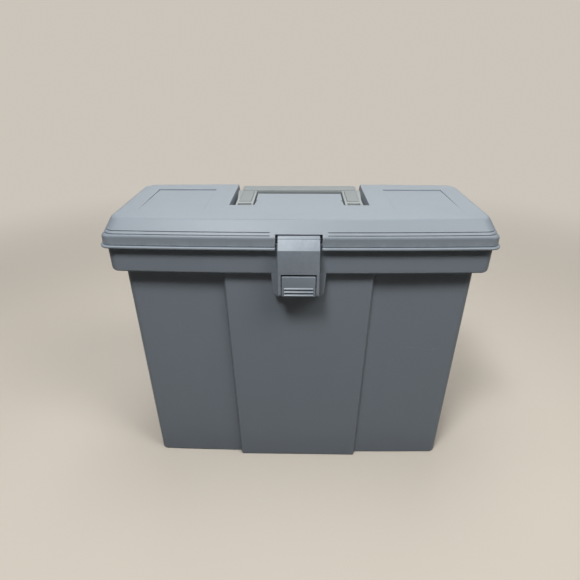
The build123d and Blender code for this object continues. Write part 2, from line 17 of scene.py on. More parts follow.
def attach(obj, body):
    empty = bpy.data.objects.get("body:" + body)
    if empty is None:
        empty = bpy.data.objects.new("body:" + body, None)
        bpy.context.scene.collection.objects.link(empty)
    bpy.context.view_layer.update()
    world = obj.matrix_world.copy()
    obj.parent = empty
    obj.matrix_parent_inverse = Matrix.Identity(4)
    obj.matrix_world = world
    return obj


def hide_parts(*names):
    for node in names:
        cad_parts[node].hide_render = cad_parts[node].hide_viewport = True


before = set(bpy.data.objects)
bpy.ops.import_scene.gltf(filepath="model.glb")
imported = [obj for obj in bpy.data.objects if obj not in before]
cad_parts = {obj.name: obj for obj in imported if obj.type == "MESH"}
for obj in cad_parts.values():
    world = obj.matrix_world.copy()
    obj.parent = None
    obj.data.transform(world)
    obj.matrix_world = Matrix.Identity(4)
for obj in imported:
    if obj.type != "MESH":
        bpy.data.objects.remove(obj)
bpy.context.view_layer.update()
MM = 0.001
print("nodes:", sorted(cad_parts))

# %% [markdown]
# ## The view
# The photograph was taken a little above the lid from about half a metre away, which makes the walls
# converge towards the base. Only the same distance gives the same convergence, so the camera is placed
# by its real position and its three turns, and the lens follows from the focal length in pixels.

# %% Camera
PHOTO_SIDE = 580
FOCAL_PIXELS = 474.7
SENSOR_WIDTH = 36.0
CAMERA_PLACE = Vector((0.6, -456.6, 400.0)) * MM
PITCH_DOWN = math.radians(26.08)
TURN_LEFT = math.radians(1.24)
TILT = math.radians(-0.17)


def camera_axes():
    """Right, up and forward: look along +Y, pitch down, turn about Z, then tilt about the line of sight."""
    forward = Vector((0, math.cos(PITCH_DOWN), -math.sin(PITCH_DOWN)))
    turn = Matrix.Rotation(TURN_LEFT, 3, "Z")
    forward = turn @ forward
    right = turn @ Vector((1, 0, 0))
    up = right.cross(forward)
    right, up = (
        right * math.cos(TILT) + up * math.sin(TILT),
        up * math.cos(TILT) - right * math.sin(TILT),
    )
    return right, up, forward


right, up, forward = camera_axes()
camera_data = bpy.data.cameras.new("camera")
camera_data.sensor_width = SENSOR_WIDTH
camera_data.lens = FOCAL_PIXELS * SENSOR_WIDTH / PHOTO_SIDE
camera = bpy.data.objects.new("camera", camera_data)
turned = Matrix((right, up, -forward)).transposed().to_4x4()
camera.matrix_world = Matrix.Translation(CAMERA_PLACE) @ turned
bpy.context.scene.collection.objects.link(camera)
bpy.context.scene.camera = camera
print("lens", round(camera_data.lens, 2), "mm")

# %% [markdown]
# ## Floor and light
# A pale sweep stands in for a photographer's paper: a flat floor that curves up into a backdrop, far
# enough behind to hold no hard shadow. White paper would also throw light up under the lip and fill the
# shadows there, so the paper is pale only where the camera or a reflection sees it, and dark to light
# that bounces. Beyond the lit floor the camera sees one plain colour, so no lamp's edge shows on the paper.


# %% A helper that turns a grid of points into a mesh
def grid_faces(rows, columns, first=0, closed=False):
    """Quads between neighbouring rows and columns; a closed grid joins its last column to its first."""
    row, column = np.mgrid[0 : rows - 1, 0 : columns if closed else columns - 1]
    after = (column + 1) % columns
    corners = [row * columns + column, row * columns + after]
    corners += [(row + 1) * columns + after, (row + 1) * columns + column]
    return first + np.stack(corners, axis=-1).reshape(-1, 4)


def mesh_object(name, points, faces):
    """New object from points in metres and faces: doubles merged, faces turned outward, smooth shading."""
    mesh = bpy.data.meshes.new(name)
    mesh.from_pydata(points.tolist(), [], np.asarray(faces, dtype=object).tolist())
    work = bmesh.new()
    work.from_mesh(mesh)
    bmesh.ops.remove_doubles(work, verts=work.verts, dist=1e-6)
    bmesh.ops.dissolve_degenerate(work, edges=work.edges, dist=1e-7)
    bmesh.ops.recalc_face_normals(work, faces=work.faces)
    work.to_mesh(mesh)
    work.free()
    mesh.shade_smooth()
    piece = bpy.data.objects.new(name, mesh)
    bpy.context.scene.collection.objects.link(piece)
    return piece


# %% The pale sweep
SWEEP_FRONT = -3.0
SWEEP_BACK = 1.3
SWEEP_BEND = 0.9
SWEEP_TOP = 3.2
SWEEP_HALF_WIDTH = 4.0


def sweep_points():
    """A level run, a quarter circle of radius SWEEP_BEND and an upright run, carried straight along X."""
    angle = np.linspace(0, math.pi / 2, 25)
    bend_y = SWEEP_BACK + SWEEP_BEND * np.sin(angle)
    bend_z = SWEEP_BEND * (1 - np.cos(angle))
    y = np.concatenate([[SWEEP_FRONT], bend_y, [SWEEP_BACK + SWEEP_BEND]])
    z = np.concatenate([[0.0], bend_z, [SWEEP_TOP]])
    x = np.array([-SWEEP_HALF_WIDTH, SWEEP_HALF_WIDTH])
    grid = np.stack(np.broadcast_arrays(x[None, :], y[:, None], z[:, None]), axis=-1)
    return grid.reshape(-1, 3), grid_faces(len(y), 2)


sweep = mesh_object("paper_sweep", *sweep_points())
print("sweep:", len(sweep.data.polygons), "faces")


# %% A helper for sums in a shader
def add_math(tree, operation, first, second, clamp=False):
    """Math node whose two inputs are sockets or plain numbers; returns its output."""
    node = tree.nodes.new("ShaderNodeMath")
    node.operation = operation
    node.use_clamp = clamp
    for slot, value in enumerate((first, second)):
        if isinstance(value, (int, float)):
            node.inputs[slot].default_value = value
        else:
            tree.links.new(value, node.inputs[slot])
    return node.outputs[0]


# %% Paper, pale to the eye and dark to bounced light
PAPER_SEEN = (0.77, 0.70, 0.61, 1)
PAPER_BOUNCE = (0.05, 0.05, 0.05, 1)
PAPER_FAR = (0.60, 0.555, 0.495, 1)
LIT_REACH = 0.55
FAR_REACH = 1.25
paper = bpy.data.materials.new("paper")
paper.use_nodes = True
paper_tree = paper.node_tree
paper_shader = paper_tree.nodes["Principled BSDF"]
paper_shader.inputs["Roughness"].default_value = 0.9
light_path = paper_tree.nodes.new("ShaderNodeLightPath")
seen = light_path.outputs["Is Camera Ray"]
for kind in ("Is Glossy Ray", "Is Transmission Ray"):
    seen = add_math(paper_tree, "MAXIMUM", seen, light_path.outputs[kind])
paper_mix = paper_tree.nodes.new("ShaderNodeMix")
paper_mix.data_type = "RGBA"
paper_mix.inputs["A"].default_value = PAPER_BOUNCE
paper_mix.inputs["B"].default_value = PAPER_SEEN
paper_tree.links.new(seen, paper_mix.inputs["Factor"])
paper_tree.links.new(paper_mix.outputs["Result"], paper_shader.inputs["Base Color"])
print("paper:", len(paper_tree.nodes), "nodes so far")

# %% Plain colour beyond the lit floor, for the camera alone
far_away = paper_tree.nodes.new("ShaderNodeVectorMath")
far_away.operation = "LENGTH"
paper_tree.links.new(paper_tree.nodes.new("ShaderNodeTexCoord").outputs["Object"], far_away.inputs[0])
haze = paper_tree.nodes.new("ShaderNodeMapRange")
haze.interpolation_type = "SMOOTHSTEP"
haze.inputs["From Min"].default_value = LIT_REACH
haze.inputs["From Max"].default_value = FAR_REACH
paper_tree.links.new(far_away.outputs["Value"], haze.inputs["Value"])
plain = paper_tree.nodes.new("ShaderNodeEmission")
plain.inputs["Color"].default_value = PAPER_FAR
seen_far = add_math(paper_tree, "MULTIPLY", haze.outputs["Result"], light_path.outputs["Is Camera Ray"])
either_shader = paper_tree.nodes.new("ShaderNodeMixShader")
paper_tree.links.new(seen_far, either_shader.inputs["Fac"])
paper_tree.links.new(paper_shader.outputs[0], either_shader.inputs[1])
paper_tree.links.new(plain.outputs[0], either_shader.inputs[2])
paper_out = paper_tree.nodes["Material Output"]
paper_tree.links.new(either_shader.outputs[0], paper_out.inputs["Surface"])
sweep.data.materials.append(paper)
print("paper:", len(paper_tree.nodes), "nodes")

# %% [markdown]
# The latch's shadow falls down and to the right, and the lip throws a deep one down the skirt, so the
# main lamp stands in front, nearly 60 degrees up and a little to the left. A long dim lamp beside it gives
# rounded edges a soft sheen, and one on the right lifts the right end of the walls. A wide lamp overhead,
# set back behind the front wall, lights only what faces up, or the lid would be no brighter than the
# walls. A dim lamp behind keeps the back from going black.

# %% Lamps and surrounding light
AIM = Vector((0.0, 0.0, 0.20))
LAMPS = {
    "front_lamp": dict(place=(-0.33, -0.78, 1.56), size=(0.36, 0.36), watts=11.4, colour=(0.97, 0.985, 1.0)),
    "sheen_lamp": dict(place=(0.15, -0.80, 1.58), size=(1.20, 0.30), watts=3.8, colour=(1.0, 0.985, 0.96)),
    "right_lamp": dict(place=(0.80, -0.62, 1.30), size=(0.50, 0.50), watts=5.2, colour=(1.0, 0.985, 0.95)),
    "top_lamp": dict(place=(-0.05, 0.05, 1.50), size=(1.00, 0.60), watts=5.4, colour=(1.0, 0.99, 0.97)),
    "rear_lamp": dict(place=(0.05, 1.30, 0.95), size=(1.60, 0.60), watts=5.0, colour=(0.96, 0.98, 1.0)),
}
SURROUND = 0.008

for name, lamp in LAMPS.items():
    lamp_data = bpy.data.lights.new(name, "AREA")
    lamp_data.shape = "RECTANGLE"
    lamp_data.size, lamp_data.size_y = lamp["size"]
    lamp_data.energy = lamp["watts"]
    lamp_data.color = lamp["colour"]
    lamp_object = bpy.data.objects.new(name, lamp_data)
    place = Vector(lamp["place"])
    aim = (AIM - place).to_track_quat("-Z", "Y").to_matrix().to_4x4()
    lamp_object.matrix_world = Matrix.Translation(place) @ aim
    lamp_object.visible_camera = False
    bpy.context.scene.collection.objects.link(lamp_object)
print("lamps:", list(LAMPS))

# %% Faint light from all round, and the plain colour that the camera sees past the sweep
world = bpy.data.worlds.new("surround")
world.use_nodes = True
world_tree = world.node_tree
faint = world_tree.nodes["Background"]
faint.inputs["Color"].default_value = (0.94, 0.97, 1.0, 1)
faint.inputs["Strength"].default_value = SURROUND
seen_world = world_tree.nodes.new("ShaderNodeBackground")
seen_world.inputs["Color"].default_value = PAPER_FAR
world_path = world_tree.nodes.new("ShaderNodeLightPath")
world_mix = world_tree.nodes.new("ShaderNodeMixShader")
world_tree.links.new(world_path.outputs["Is Camera Ray"], world_mix.inputs["Fac"])
world_tree.links.new(faint.outputs[0], world_mix.inputs[1])
world_tree.links.new(seen_world.outputs[0], world_mix.inputs[2])
world_tree.links.new(world_mix.outputs[0], world_tree.nodes["World Output"].inputs["Surface"])
bpy.context.scene.world = world
bpy.context.scene.view_settings.view_transform = "Standard"
print("surround strength", SURROUND)

# %% [markdown]
# ## Finishes
# Moulded plastic is never one flat colour. The mould's etched skin shows as a fine grain, the pigment
# drifts slightly over a hand's width, and handling leaves short scuffs. Outer edges turn paler, partly
# as knocked wear and partly as a painted highlight, and inner corners and grooves get painted shade.
# Each effect is a node group, built once and placed in every plastic with its own amounts.


# %% A helper for node groups
def new_group(name, inputs, outputs):
    """Empty shader node group with float or colour sockets; returns the tree, its input and output nodes."""
    tree = bpy.data.node_groups.new(name, "ShaderNodeTree")
    for label, kind, value in inputs:
        socket = tree.interface.new_socket(label, in_out="INPUT", socket_type="NodeSocket" + kind)
        if value is not None:
            socket.default_value = value
    for label, kind in outputs:
        tree.interface.new_socket(label, in_out="OUTPUT", socket_type="NodeSocket" + kind)
    return tree, tree.nodes.new("NodeGroupInput"), tree.nodes.new("NodeGroupOutput")


def add_noise(tree, vector, scale, detail, roughness=0.5):
    """Noise texture on a vector; scale is a socket or a number of bumps per metre."""
    node = tree.nodes.new("ShaderNodeTexNoise")
    tree.links.new(vector, node.inputs["Vector"])
    if isinstance(scale, (int, float)):
        node.inputs["Scale"].default_value = scale
    else:
        tree.links.new(scale, node.inputs["Scale"])
    node.inputs["Detail"].default_value = detail
    node.inputs["Roughness"].default_value = roughness
    return node.outputs["Fac"]


def remap(tree, value, low, high, new_low=0.0, new_high=1.0):
    """Clamped straight-line change of range."""
    node = tree.nodes.new("ShaderNodeMapRange")
    tree.links.new(value, node.inputs["Value"])
    node.inputs["From Min"].default_value = low
    node.inputs["From Max"].default_value = high
    node.inputs["To Min"].default_value = new_low
    node.inputs["To Max"].default_value = new_high
    return node.outputs["Result"]


def object_space(tree):
    """Object coordinates, which for every piece here are the box's own metres."""
    return tree.nodes.new("ShaderNodeTexCoord").outputs["Object"]


# %% Group: the mould's etched grain
def build_grain():
    """Two sizes of noise added: pits under a millimetre, and a softer orange peel about six times wider."""
    tree, entry, leave = new_group(
        "moulded_grain",
        [("Bumps per metre", "Float", 1600.0), ("Orange peel", "Float", 0.4)],
        [("Height", "Float")],
    )
    place = object_space(tree)
    pits = add_noise(tree, place, entry.outputs["Bumps per metre"], 2.0, 0.6)
    wide = add_math(tree, "DIVIDE", entry.outputs["Bumps per metre"], 6.0)
    peel = add_noise(tree, place, wide, 1.0)
    weighted = add_math(tree, "MULTIPLY", peel, entry.outputs["Orange peel"])
    tree.links.new(add_math(tree, "ADD", pits, weighted), leave.inputs["Height"])
    return tree


grain_group = build_grain()


# %% Group: slow drift of the pigment
def build_drift():
    """Broad noise, a hand's width across, and flow streaks stretched up the walls, as a factor about 1."""
    tree, entry, leave = new_group(
        "pigment_drift", [("Amount", "Float", 0.05)], [("Factor", "Float")]
    )
    place = object_space(tree)
    broad = add_noise(tree, place, 9.0, 3.0)
    stretch = tree.nodes.new("ShaderNodeMapping")
    stretch.inputs["Scale"].default_value = (60.0, 60.0, 5.0)
    tree.links.new(place, stretch.inputs["Vector"])
    streaks = add_noise(tree, stretch.outputs["Vector"], 1.0, 2.0)
    weighted = [add_math(tree, "MULTIPLY", broad, 1.4), add_math(tree, "MULTIPLY", streaks, 0.6)]
    centred = add_math(tree, "SUBTRACT", add_math(tree, "ADD", *weighted), 1.0)
    scaled = add_math(tree, "MULTIPLY", centred, entry.outputs["Amount"])
    tree.links.new(add_math(tree, "ADD", scaled, 1.0), leave.inputs["Factor"])
    return tree


drift_group = build_drift()


# %% Group: short pale scuffs
def build_scuffs():
    """Thin streaks in two directions, cut to short lengths by a broad patchy mask."""
    tree, entry, leave = new_group(
        "handling_scuffs", [("Amount", "Float", 0.5)], [("Mask", "Float")]
    )
    place = object_space(tree)
    total = None
    for turn, stretch in ((0.35, (900.0, 900.0, 42.0)), (-1.1, (46.0, 800.0, 800.0))):
        mapping = tree.nodes.new("ShaderNodeMapping")
        mapping.inputs["Rotation"].default_value = (turn, turn * 0.7, turn)
        mapping.inputs["Scale"].default_value = stretch
        tree.links.new(place, mapping.inputs["Vector"])
        streak = add_noise(tree, mapping.outputs["Vector"], 1.0, 1.0)
        thin = remap(tree, streak, 0.70, 0.78)
        total = thin if total is None else add_math(tree, "MAXIMUM", total, thin)
    patch = remap(tree, add_noise(tree, place, 26.0, 3.0), 0.55, 0.72)
    masked = add_math(tree, "MULTIPLY", total, patch)
    tree.links.new(add_math(tree, "MULTIPLY", masked, entry.outputs["Amount"]), leave.inputs["Mask"])
    return tree


scuff_group = build_scuffs()


# %% Group: knocked edges and painted edge highlight
def build_edge_wear_and_highlight():
    """The edge attribute, 1 on a sharp outer edge and 0 on a flat, broken up by noise that never falls
    below 0.35, so besides wear every outer edge keeps a painted highlight.
    """
    tree, entry, leave = new_group(
        "edge_wear_and_highlight", [("Edge", "Float", 0.0), ("Amount", "Float", 0.5)], [("Mask", "Float")]
    )
    place = object_space(tree)
    broken = remap(tree, add_noise(tree, place, 130.0, 4.0, 0.65), 0.40, 0.66, 0.35, 1.0)
    edge_paleness = add_math(tree, "MULTIPLY", remap(tree, entry.outputs["Edge"], 0.15, 0.9), broken)
    tree.links.new(
        add_math(tree, "MULTIPLY", edge_paleness, entry.outputs["Amount"], clamp=True), leave.inputs["Mask"]
    )
    return tree


edge_wear_highlight_group = build_edge_wear_and_highlight()


# %% Group: painted shade in the creases
def build_crease_shade():
    """Factor below 1 where the edge attribute is negative: painted shade, so inner corners and grooves read
    darker.
    """
    tree, entry, leave = new_group(
        "crease_painted_shade", [("Edge", "Float", 0.0), ("Amount", "Float", 0.4)], [("Factor", "Float")]
    )
    hollow = remap(tree, entry.outputs["Edge"], -0.15, -0.9)
    patchy = remap(tree, add_noise(tree, object_space(tree), 70.0, 3.0), 0.30, 0.60, 0.6, 1.0)
    dark = add_math(tree, "MULTIPLY", add_math(tree, "MULTIPLY", hollow, patchy), entry.outputs["Amount"])
    tree.links.new(add_math(tree, "SUBTRACT", 1.0, dark, clamp=True), leave.inputs["Factor"])
    return tree


crease_shade_group = build_crease_shade()
print("groups:", [group.name for group in (grain_group, drift_group, scuff_group, edge_wear_highlight_group, crease_shade_group)])


# %% One function that makes a moulded plastic
# Strength of the painted shade in creases
CREASE_SHADE = 0.45
# Paler colour of scuffs, worn edges and the painted edge highlight
PALE_GAIN, PALE_LIFT = 1.25, 0.10
ROUGHNESS_SWING = 0.05
RUBBED_ROUGHER = 0.12


def place_group(tree, group, **values):
    """Node that uses a group, with its plain values set by input name."""
    node = tree.nodes.new("ShaderNodeGroup")
    node.node_tree = group
    for label, value in values.items():
        node.inputs[label.replace("_", " ")].default_value = value
    return node


def plastic(name, colour, roughness, drift=0.06, scuff=0.5, wear_and_highlight=0.5, bumps=1600.0, relief=0.00006):
    """Principled plastic: drifting colour, paler scuffs, edges paler by wear and painted highlight,
    painted shade in creases, grain as bump and uneven roughness.
    """
    material = bpy.data.materials.new(name)
    material.use_nodes = True
    tree = material.node_tree
    shader = tree.nodes["Principled BSDF"]
    shader.inputs["IOR"].default_value = 1.49

    drifting = place_group(tree, drift_group, Amount=drift)
    grain = place_group(tree, grain_group, Bumps_per_metre=bumps)
    scuffs = place_group(tree, scuff_group, Amount=scuff)
    # Worn edges and painted edge highlight, from the edge attribute
    edges = place_group(tree, edge_wear_highlight_group, Amount=wear_and_highlight)
    attribute = tree.nodes.new("ShaderNodeAttribute")
    attribute.attribute_name = "edge"
    tree.links.new(attribute.outputs["Fac"], edges.inputs["Edge"])

    tint = tree.nodes.new("ShaderNodeVectorMath")
    tint.operation = "SCALE"
    tint.inputs[0].default_value = colour
    # Painted shade darkens the colour in creases and hollows
    crease_shade = place_group(tree, crease_shade_group, Amount=CREASE_SHADE)
    tree.links.new(attribute.outputs["Fac"], crease_shade.inputs["Edge"])
    shade = add_math(tree, "MULTIPLY", drifting.outputs["Factor"], crease_shade.outputs["Factor"])
    tree.links.new(shade, tint.inputs["Scale"])
    # Scuffs, worn edges and the painted edge highlight turn paler
    scuffs_wear_and_highlight = add_math(tree, "MAXIMUM", scuffs.outputs["Mask"], edges.outputs["Mask"], clamp=True)
    pale = tree.nodes.new("ShaderNodeMix")
    pale.data_type = "RGBA"
    paler = tuple(min(1.0, part * PALE_GAIN + PALE_LIFT) for part in colour)
    pale.inputs["B"].default_value = paler + (1,)
    tree.links.new(scuffs_wear_and_highlight, pale.inputs["Factor"])
    tree.links.new(tint.outputs["Vector"], pale.inputs["A"])
    tree.links.new(pale.outputs["Result"], shader.inputs["Base Color"])

    smoothest, roughest = roughness - ROUGHNESS_SWING, roughness + ROUGHNESS_SWING
    uneven = remap(tree, grain.outputs["Height"], 0.3, 1.1, smoothest, roughest)
    rubbed = add_math(tree, "MULTIPLY", scuffs_wear_and_highlight, RUBBED_ROUGHER)
    tree.links.new(add_math(tree, "ADD", uneven, rubbed, clamp=True), shader.inputs["Roughness"])

    bump = tree.nodes.new("ShaderNodeBump")
    bump.inputs["Strength"].default_value = 1.0
    bump.inputs["Distance"].default_value = relief
    tree.links.new(grain.outputs["Height"], bump.inputs["Height"])
    tree.links.new(bump.outputs["Normal"], shader.inputs["Normal"])
    return material


# %% The plastics of the box
tub_plastic = plastic("tub_plastic", (0.274, 0.316, 0.366), 0.50)
lid_plastic = plastic("lid_plastic", (0.330, 0.378, 0.428), 0.42)
handle_plastic = plastic("handle_plastic", (0.330, 0.360, 0.360), 0.42)
pad_plastic = plastic("handle_pads", (0.300, 0.330, 0.330), 0.52, wear_and_highlight=0.3)
latch_plastic = plastic(
    "latch_plastic", (0.298, 0.347, 0.402), 0.36, wear_and_highlight=0.9, bumps=2200.0, relief=0.00004
)
plastics = (tub_plastic, lid_plastic, handle_plastic, pad_plastic, latch_plastic)
print("plastics:", [finish.name for finish in plastics])

# %% [markdown]
# ## Steel for the pins and the spring
# The pins are cut from drawn wire, so their fine scratches run along the pin, which lies along X. Noise
# stretched along X does that without any unwrapping, and serves the small leaf spring as well.


# %% Drawn steel
def drawn_steel(name, colour, roughness):
    """Metal whose roughness and height follow noise stretched along the wire, with small dull spots."""
    material = bpy.data.materials.new(name)
    material.use_nodes = True
    tree = material.node_tree
    shader = tree.nodes["Principled BSDF"]
    shader.inputs["Metallic"].default_value = 1.0
    place = object_space(tree)
    stretch = tree.nodes.new("ShaderNodeMapping")
    stretch.inputs["Scale"].default_value = (150.0, 6000.0, 6000.0)
    tree.links.new(place, stretch.inputs["Vector"])
    lines = add_noise(tree, stretch.outputs["Vector"], 1.0, 2.0)
    spots = remap(tree, add_noise(tree, place, 900.0, 3.0), 0.45, 0.75)
    rough = remap(tree, lines, 0.3, 0.7, roughness - 0.08, roughness + 0.08)
    dulled = add_math(tree, "MULTIPLY", spots, 0.15)
    tree.links.new(add_math(tree, "ADD", rough, dulled, clamp=True), shader.inputs["Roughness"])
    tint = tree.nodes.new("ShaderNodeVectorMath")
    tint.operation = "SCALE"
    tint.inputs[0].default_value = colour
    tree.links.new(remap(tree, spots, 0.0, 1.0, 1.0, 0.72), tint.inputs["Scale"])
    tree.links.new(tint.outputs["Vector"], shader.inputs["Base Color"])
    bump = tree.nodes.new("ShaderNodeBump")
    bump.inputs["Distance"].default_value = 0.00002
    tree.links.new(lines, bump.inputs["Height"])
    tree.links.new(bump.outputs["Normal"], shader.inputs["Normal"])
    return material


# The pins are near black as painted shade: the latch pin then reads as the dark gap beside the latch arm
pin_steel = drawn_steel("pin_steel", (0.06, 0.06, 0.065), 0.55)
spring_steel = drawn_steel("spring_steel", (0.36, 0.37, 0.40), 0.38)
print("steels:", pin_steel.name, spring_steel.name)

# %% [markdown]
# ## Finish for every piece
# The imported nodes get their finish even where another piece stands for them. New pieces also get an
# "edge" attribute: how far a point's neighbours fall away behind it. The edge wear and painted edge
# highlight read it on outer edges, and the painted shade on inner corners and grooves.


# %% Edge attribute and finish of a new piece
SHARP_ANGLE = math.radians(32)


def mark_edges(mesh, gain=6.0):
    """Edge attribute: the mean of -n . d / |d| over a point's neighbours, where d leads to a neighbour.

    It is 1 on a sharp outer edge, 0 on a flat and -1 in a sharp inner corner.
    """
    count = len(mesh.vertices)
    place, normal = np.empty(count * 3), np.empty(count * 3)
    mesh.vertices.foreach_get("co", place)
    mesh.vertices.foreach_get("normal", normal)
    place, normal = place.reshape(-1, 3), normal.reshape(-1, 3)
    ends = np.empty(len(mesh.edges) * 2, dtype=np.int32)
    mesh.edges.foreach_get("vertices", ends)
    start, end = ends.reshape(-1, 2).T
    along = place[end] - place[start]
    along /= np.maximum(np.linalg.norm(along, axis=1, keepdims=True), 1e-12)
    total, number = np.zeros(count), np.zeros(count)
    np.add.at(total, start, -(normal[start] * along).sum(axis=1))
    np.add.at(total, end, (normal[end] * along).sum(axis=1))
    np.add.at(number, ends, 1)
    edge = np.clip(total / np.maximum(number, 1) * gain, -1, 1)
    mesh.attributes.new("edge", "FLOAT", "POINT").data.foreach_set("value", edge)


def read_edges(mesh):
    """Points in metres, one row each, and the edge attribute."""
    place, edge = np.empty(len(mesh.vertices) * 3), np.empty(len(mesh.vertices))
    mesh.vertices.foreach_get("co", place)
    mesh.attributes["edge"].data.foreach_get("value", edge)
    return place.reshape(-1, 3), edge


def finish_shell(piece, finish):
    """Sharp shading only at real corners, the edge attribute, and the piece's finish."""
    piece.data.set_sharp_from_angle(angle=SHARP_ANGLE)
    mark_edges(piece.data)
    piece.data.materials.append(finish)


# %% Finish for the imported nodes
FINISHES = {
    "body_tub": tub_plastic,
    "lid": lid_plastic,
    "carry_handle": handle_plastic,
    "latch_arm": latch_plastic,
    "release_button": latch_plastic,
    "button_spring": spring_steel,
    "latch_pin": pin_steel,
    "button_pin": pin_steel,
    "hinge_pin_left": pin_steel,
    "hinge_pin_right": pin_steel,
}
for node, finish in FINISHES.items():
    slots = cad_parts[node].data.materials
    slots.clear()
    slots.append(finish)
print("finished nodes:", len(FINISHES))

# %% [markdown]
# ## Shells worked out from formulas
# Both big mouldings are thin shells with rounded edges. Each is one closed sheet: level outlines are
# stacked up the outside and down the inside, every outline has the same number of points, and the sheet
# is closed by a plateau or a pole at each end. A loft of rings gives soft edges whose radius is a number,
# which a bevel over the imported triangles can't give on long curved rims.


# %% Helpers for rounded profiles
def edge_drop(distance, radius):
    """Height lost at a rounded edge: r - sqrt(r^2 - (r - d)^2) within r of the edge, and 0 beyond it."""
    inside = radius - np.clip(distance, 0, radius)
    return radius - np.sqrt(np.maximum(radius**2 - inside**2, 0))


def rounded_path(points, radii, steps=6, closed=False):
    """Corners of a flat path replaced by arcs: tangent length r * tan(turn / 2), arc sampled evenly."""
    points = np.asarray(points, float)
    before = np.roll(points, 1, axis=0) - points
    after = np.roll(points, -1, axis=0) - points
    before /= np.linalg.norm(before, axis=1, keepdims=True)
    after /= np.linalg.norm(after, axis=1, keepdims=True)
    radii = np.broadcast_to(np.asarray(radii, float), len(points)).copy()
    if not closed:
        radii[[0, -1]] = 0
    half_turn = (math.pi - np.arccos(np.clip((before * after).sum(axis=1), -1, 1))) / 2
    reach = radii * np.tan(half_turn)
    bisector = before + after
    length = np.linalg.norm(bisector, axis=1, keepdims=True)
    bisector = np.divide(bisector, length, out=np.zeros_like(bisector), where=length > 1e-9)
    centre = points + bisector * (radii / np.cos(half_turn))[:, None]
    start = points + before * reach[:, None] - centre
    end = points + after * reach[:, None] - centre
    share = np.linspace(0, 1, steps)[None, :, None]
    turn = 2 * half_turn[:, None, None]
    weight = np.sin(np.maximum(turn, 1e-9))
    fan = (np.sin((1 - share) * turn) * start[:, None] + np.sin(share * turn) * end[:, None]) / weight
    straight = (1 - share) * start[:, None] + share * end[:, None]
    arcs = centre[:, None] + np.where(turn > 1e-4, fan, straight)
    if not closed:
        return np.concatenate([points[:1], arcs[1:-1].reshape(-1, 2), points[-1:]])
    return arcs.reshape(-1, 2)


def paired_lines(walls, radius, limit, spacing):
    """Grid lines from -limit to limit and, for each, a side: walls come twice, a hair to either side."""
    reach = radius * (1 - np.cos(np.radians([30, 60, 90])))
    walls = np.asarray(walls, float)
    near = np.concatenate([walls[:, None] + reach, walls[:, None] - reach]).ravel()
    plain = np.arange(-limit, limit + spacing / 2, spacing)
    plain = np.concatenate([plain, near, [-limit, limit]])
    plain = plain[np.abs(plain) <= limit]
    lines = np.concatenate([plain, walls, walls])
    sides = np.concatenate([np.zeros(len(plain)), -np.ones(len(walls)), np.ones(len(walls))])
    order = np.lexsort((sides, np.round(lines, 6)))
    return lines[order], sides[order]


# %% [markdown]
# ## The lid
# The top outline and the rim outline share their columns with the grid of the flat top, so the handle
# recess, which runs out through the back, and the latch notch can be cut by moving points: below the
# recess a point's height is clamped to the floor, and in the notch its depth is clamped to the back wall.
# A wall stands between two lines at one place, of which one counts as inside and the other as outside.

# %% The lid's measures, in millimetres
LID_BOW = 4.0
INNER_X, INNER_Y = 156.0, 50.0
STRAIGHT_X, STRAIGHT_Y = 150.0, 44.0
TOP_Z = 275.0
CEILING_Z = 272.5
SEAT_Z = 256.3
SKIN = 2.4
WALL_ROUND = 0.8
TRAY_ROUND = 0.3
RECESS = dict(half=66.2, front=-18.2, floor=260.2, block_half=42.3, block_back=23.8)
WELL_BACK, WELL_FLOOR = 1.5, 255.9
TRAY = dict(inner=87.4, outer=148.2, front=-43.0, back=40.5, depth=1.1)
SOCKET = dict(inner=40.9, y=-3.5, z=268.3, radius=3.1, throat=2.6)
NOTCH = dict(half=20.2, back=-68.8, top=264.6, cheek=3.2, cheek_top=267.1)
LIP_LOW, LIP_HIGH, SHOULDER_Z = 250.8, 254.1, 262.86
LID_ARC_STEPS = 9
GROOVES = (263.4, 265.7)
GROOVE_HALF, GROOVE_DEPTH, GROOVE_START = 0.45, 0.8, 25.0
HAIR = 1e-5

# %% Grid lines of the flat top, with every wall of the recess, notch, sockets and trays among them
TRAY_GUARD = 89.0
WALLS_X = [
    NOTCH["half"], NOTCH["half"] + NOTCH["cheek"], GROOVE_START,
    RECESS["block_half"] - SKIN, SOCKET["inner"], RECESS["block_half"],
    RECESS["half"], RECESS["half"] + SKIN, TRAY["inner"], TRAY_GUARD, TRAY["outer"],
]
WALLS_Y = [
    TRAY["front"], RECESS["front"] - SKIN, RECESS["front"],
    SOCKET["y"] - SOCKET["throat"], SOCKET["y"] + SOCKET["throat"],
    WELL_BACK, WELL_BACK + SKIN, RECESS["block_back"] - SKIN, RECESS["block_back"], TRAY["back"],
]
LID_X, LID_X_SIDE = paired_lines(np.outer([-1, 1], WALLS_X).ravel(), WALL_ROUND, INNER_X, 8.0)
LID_Y, LID_Y_SIDE = paired_lines(WALLS_Y, WALL_ROUND, INNER_Y, 5.0)
print("plateau grid", len(LID_X), "by", len(LID_Y))


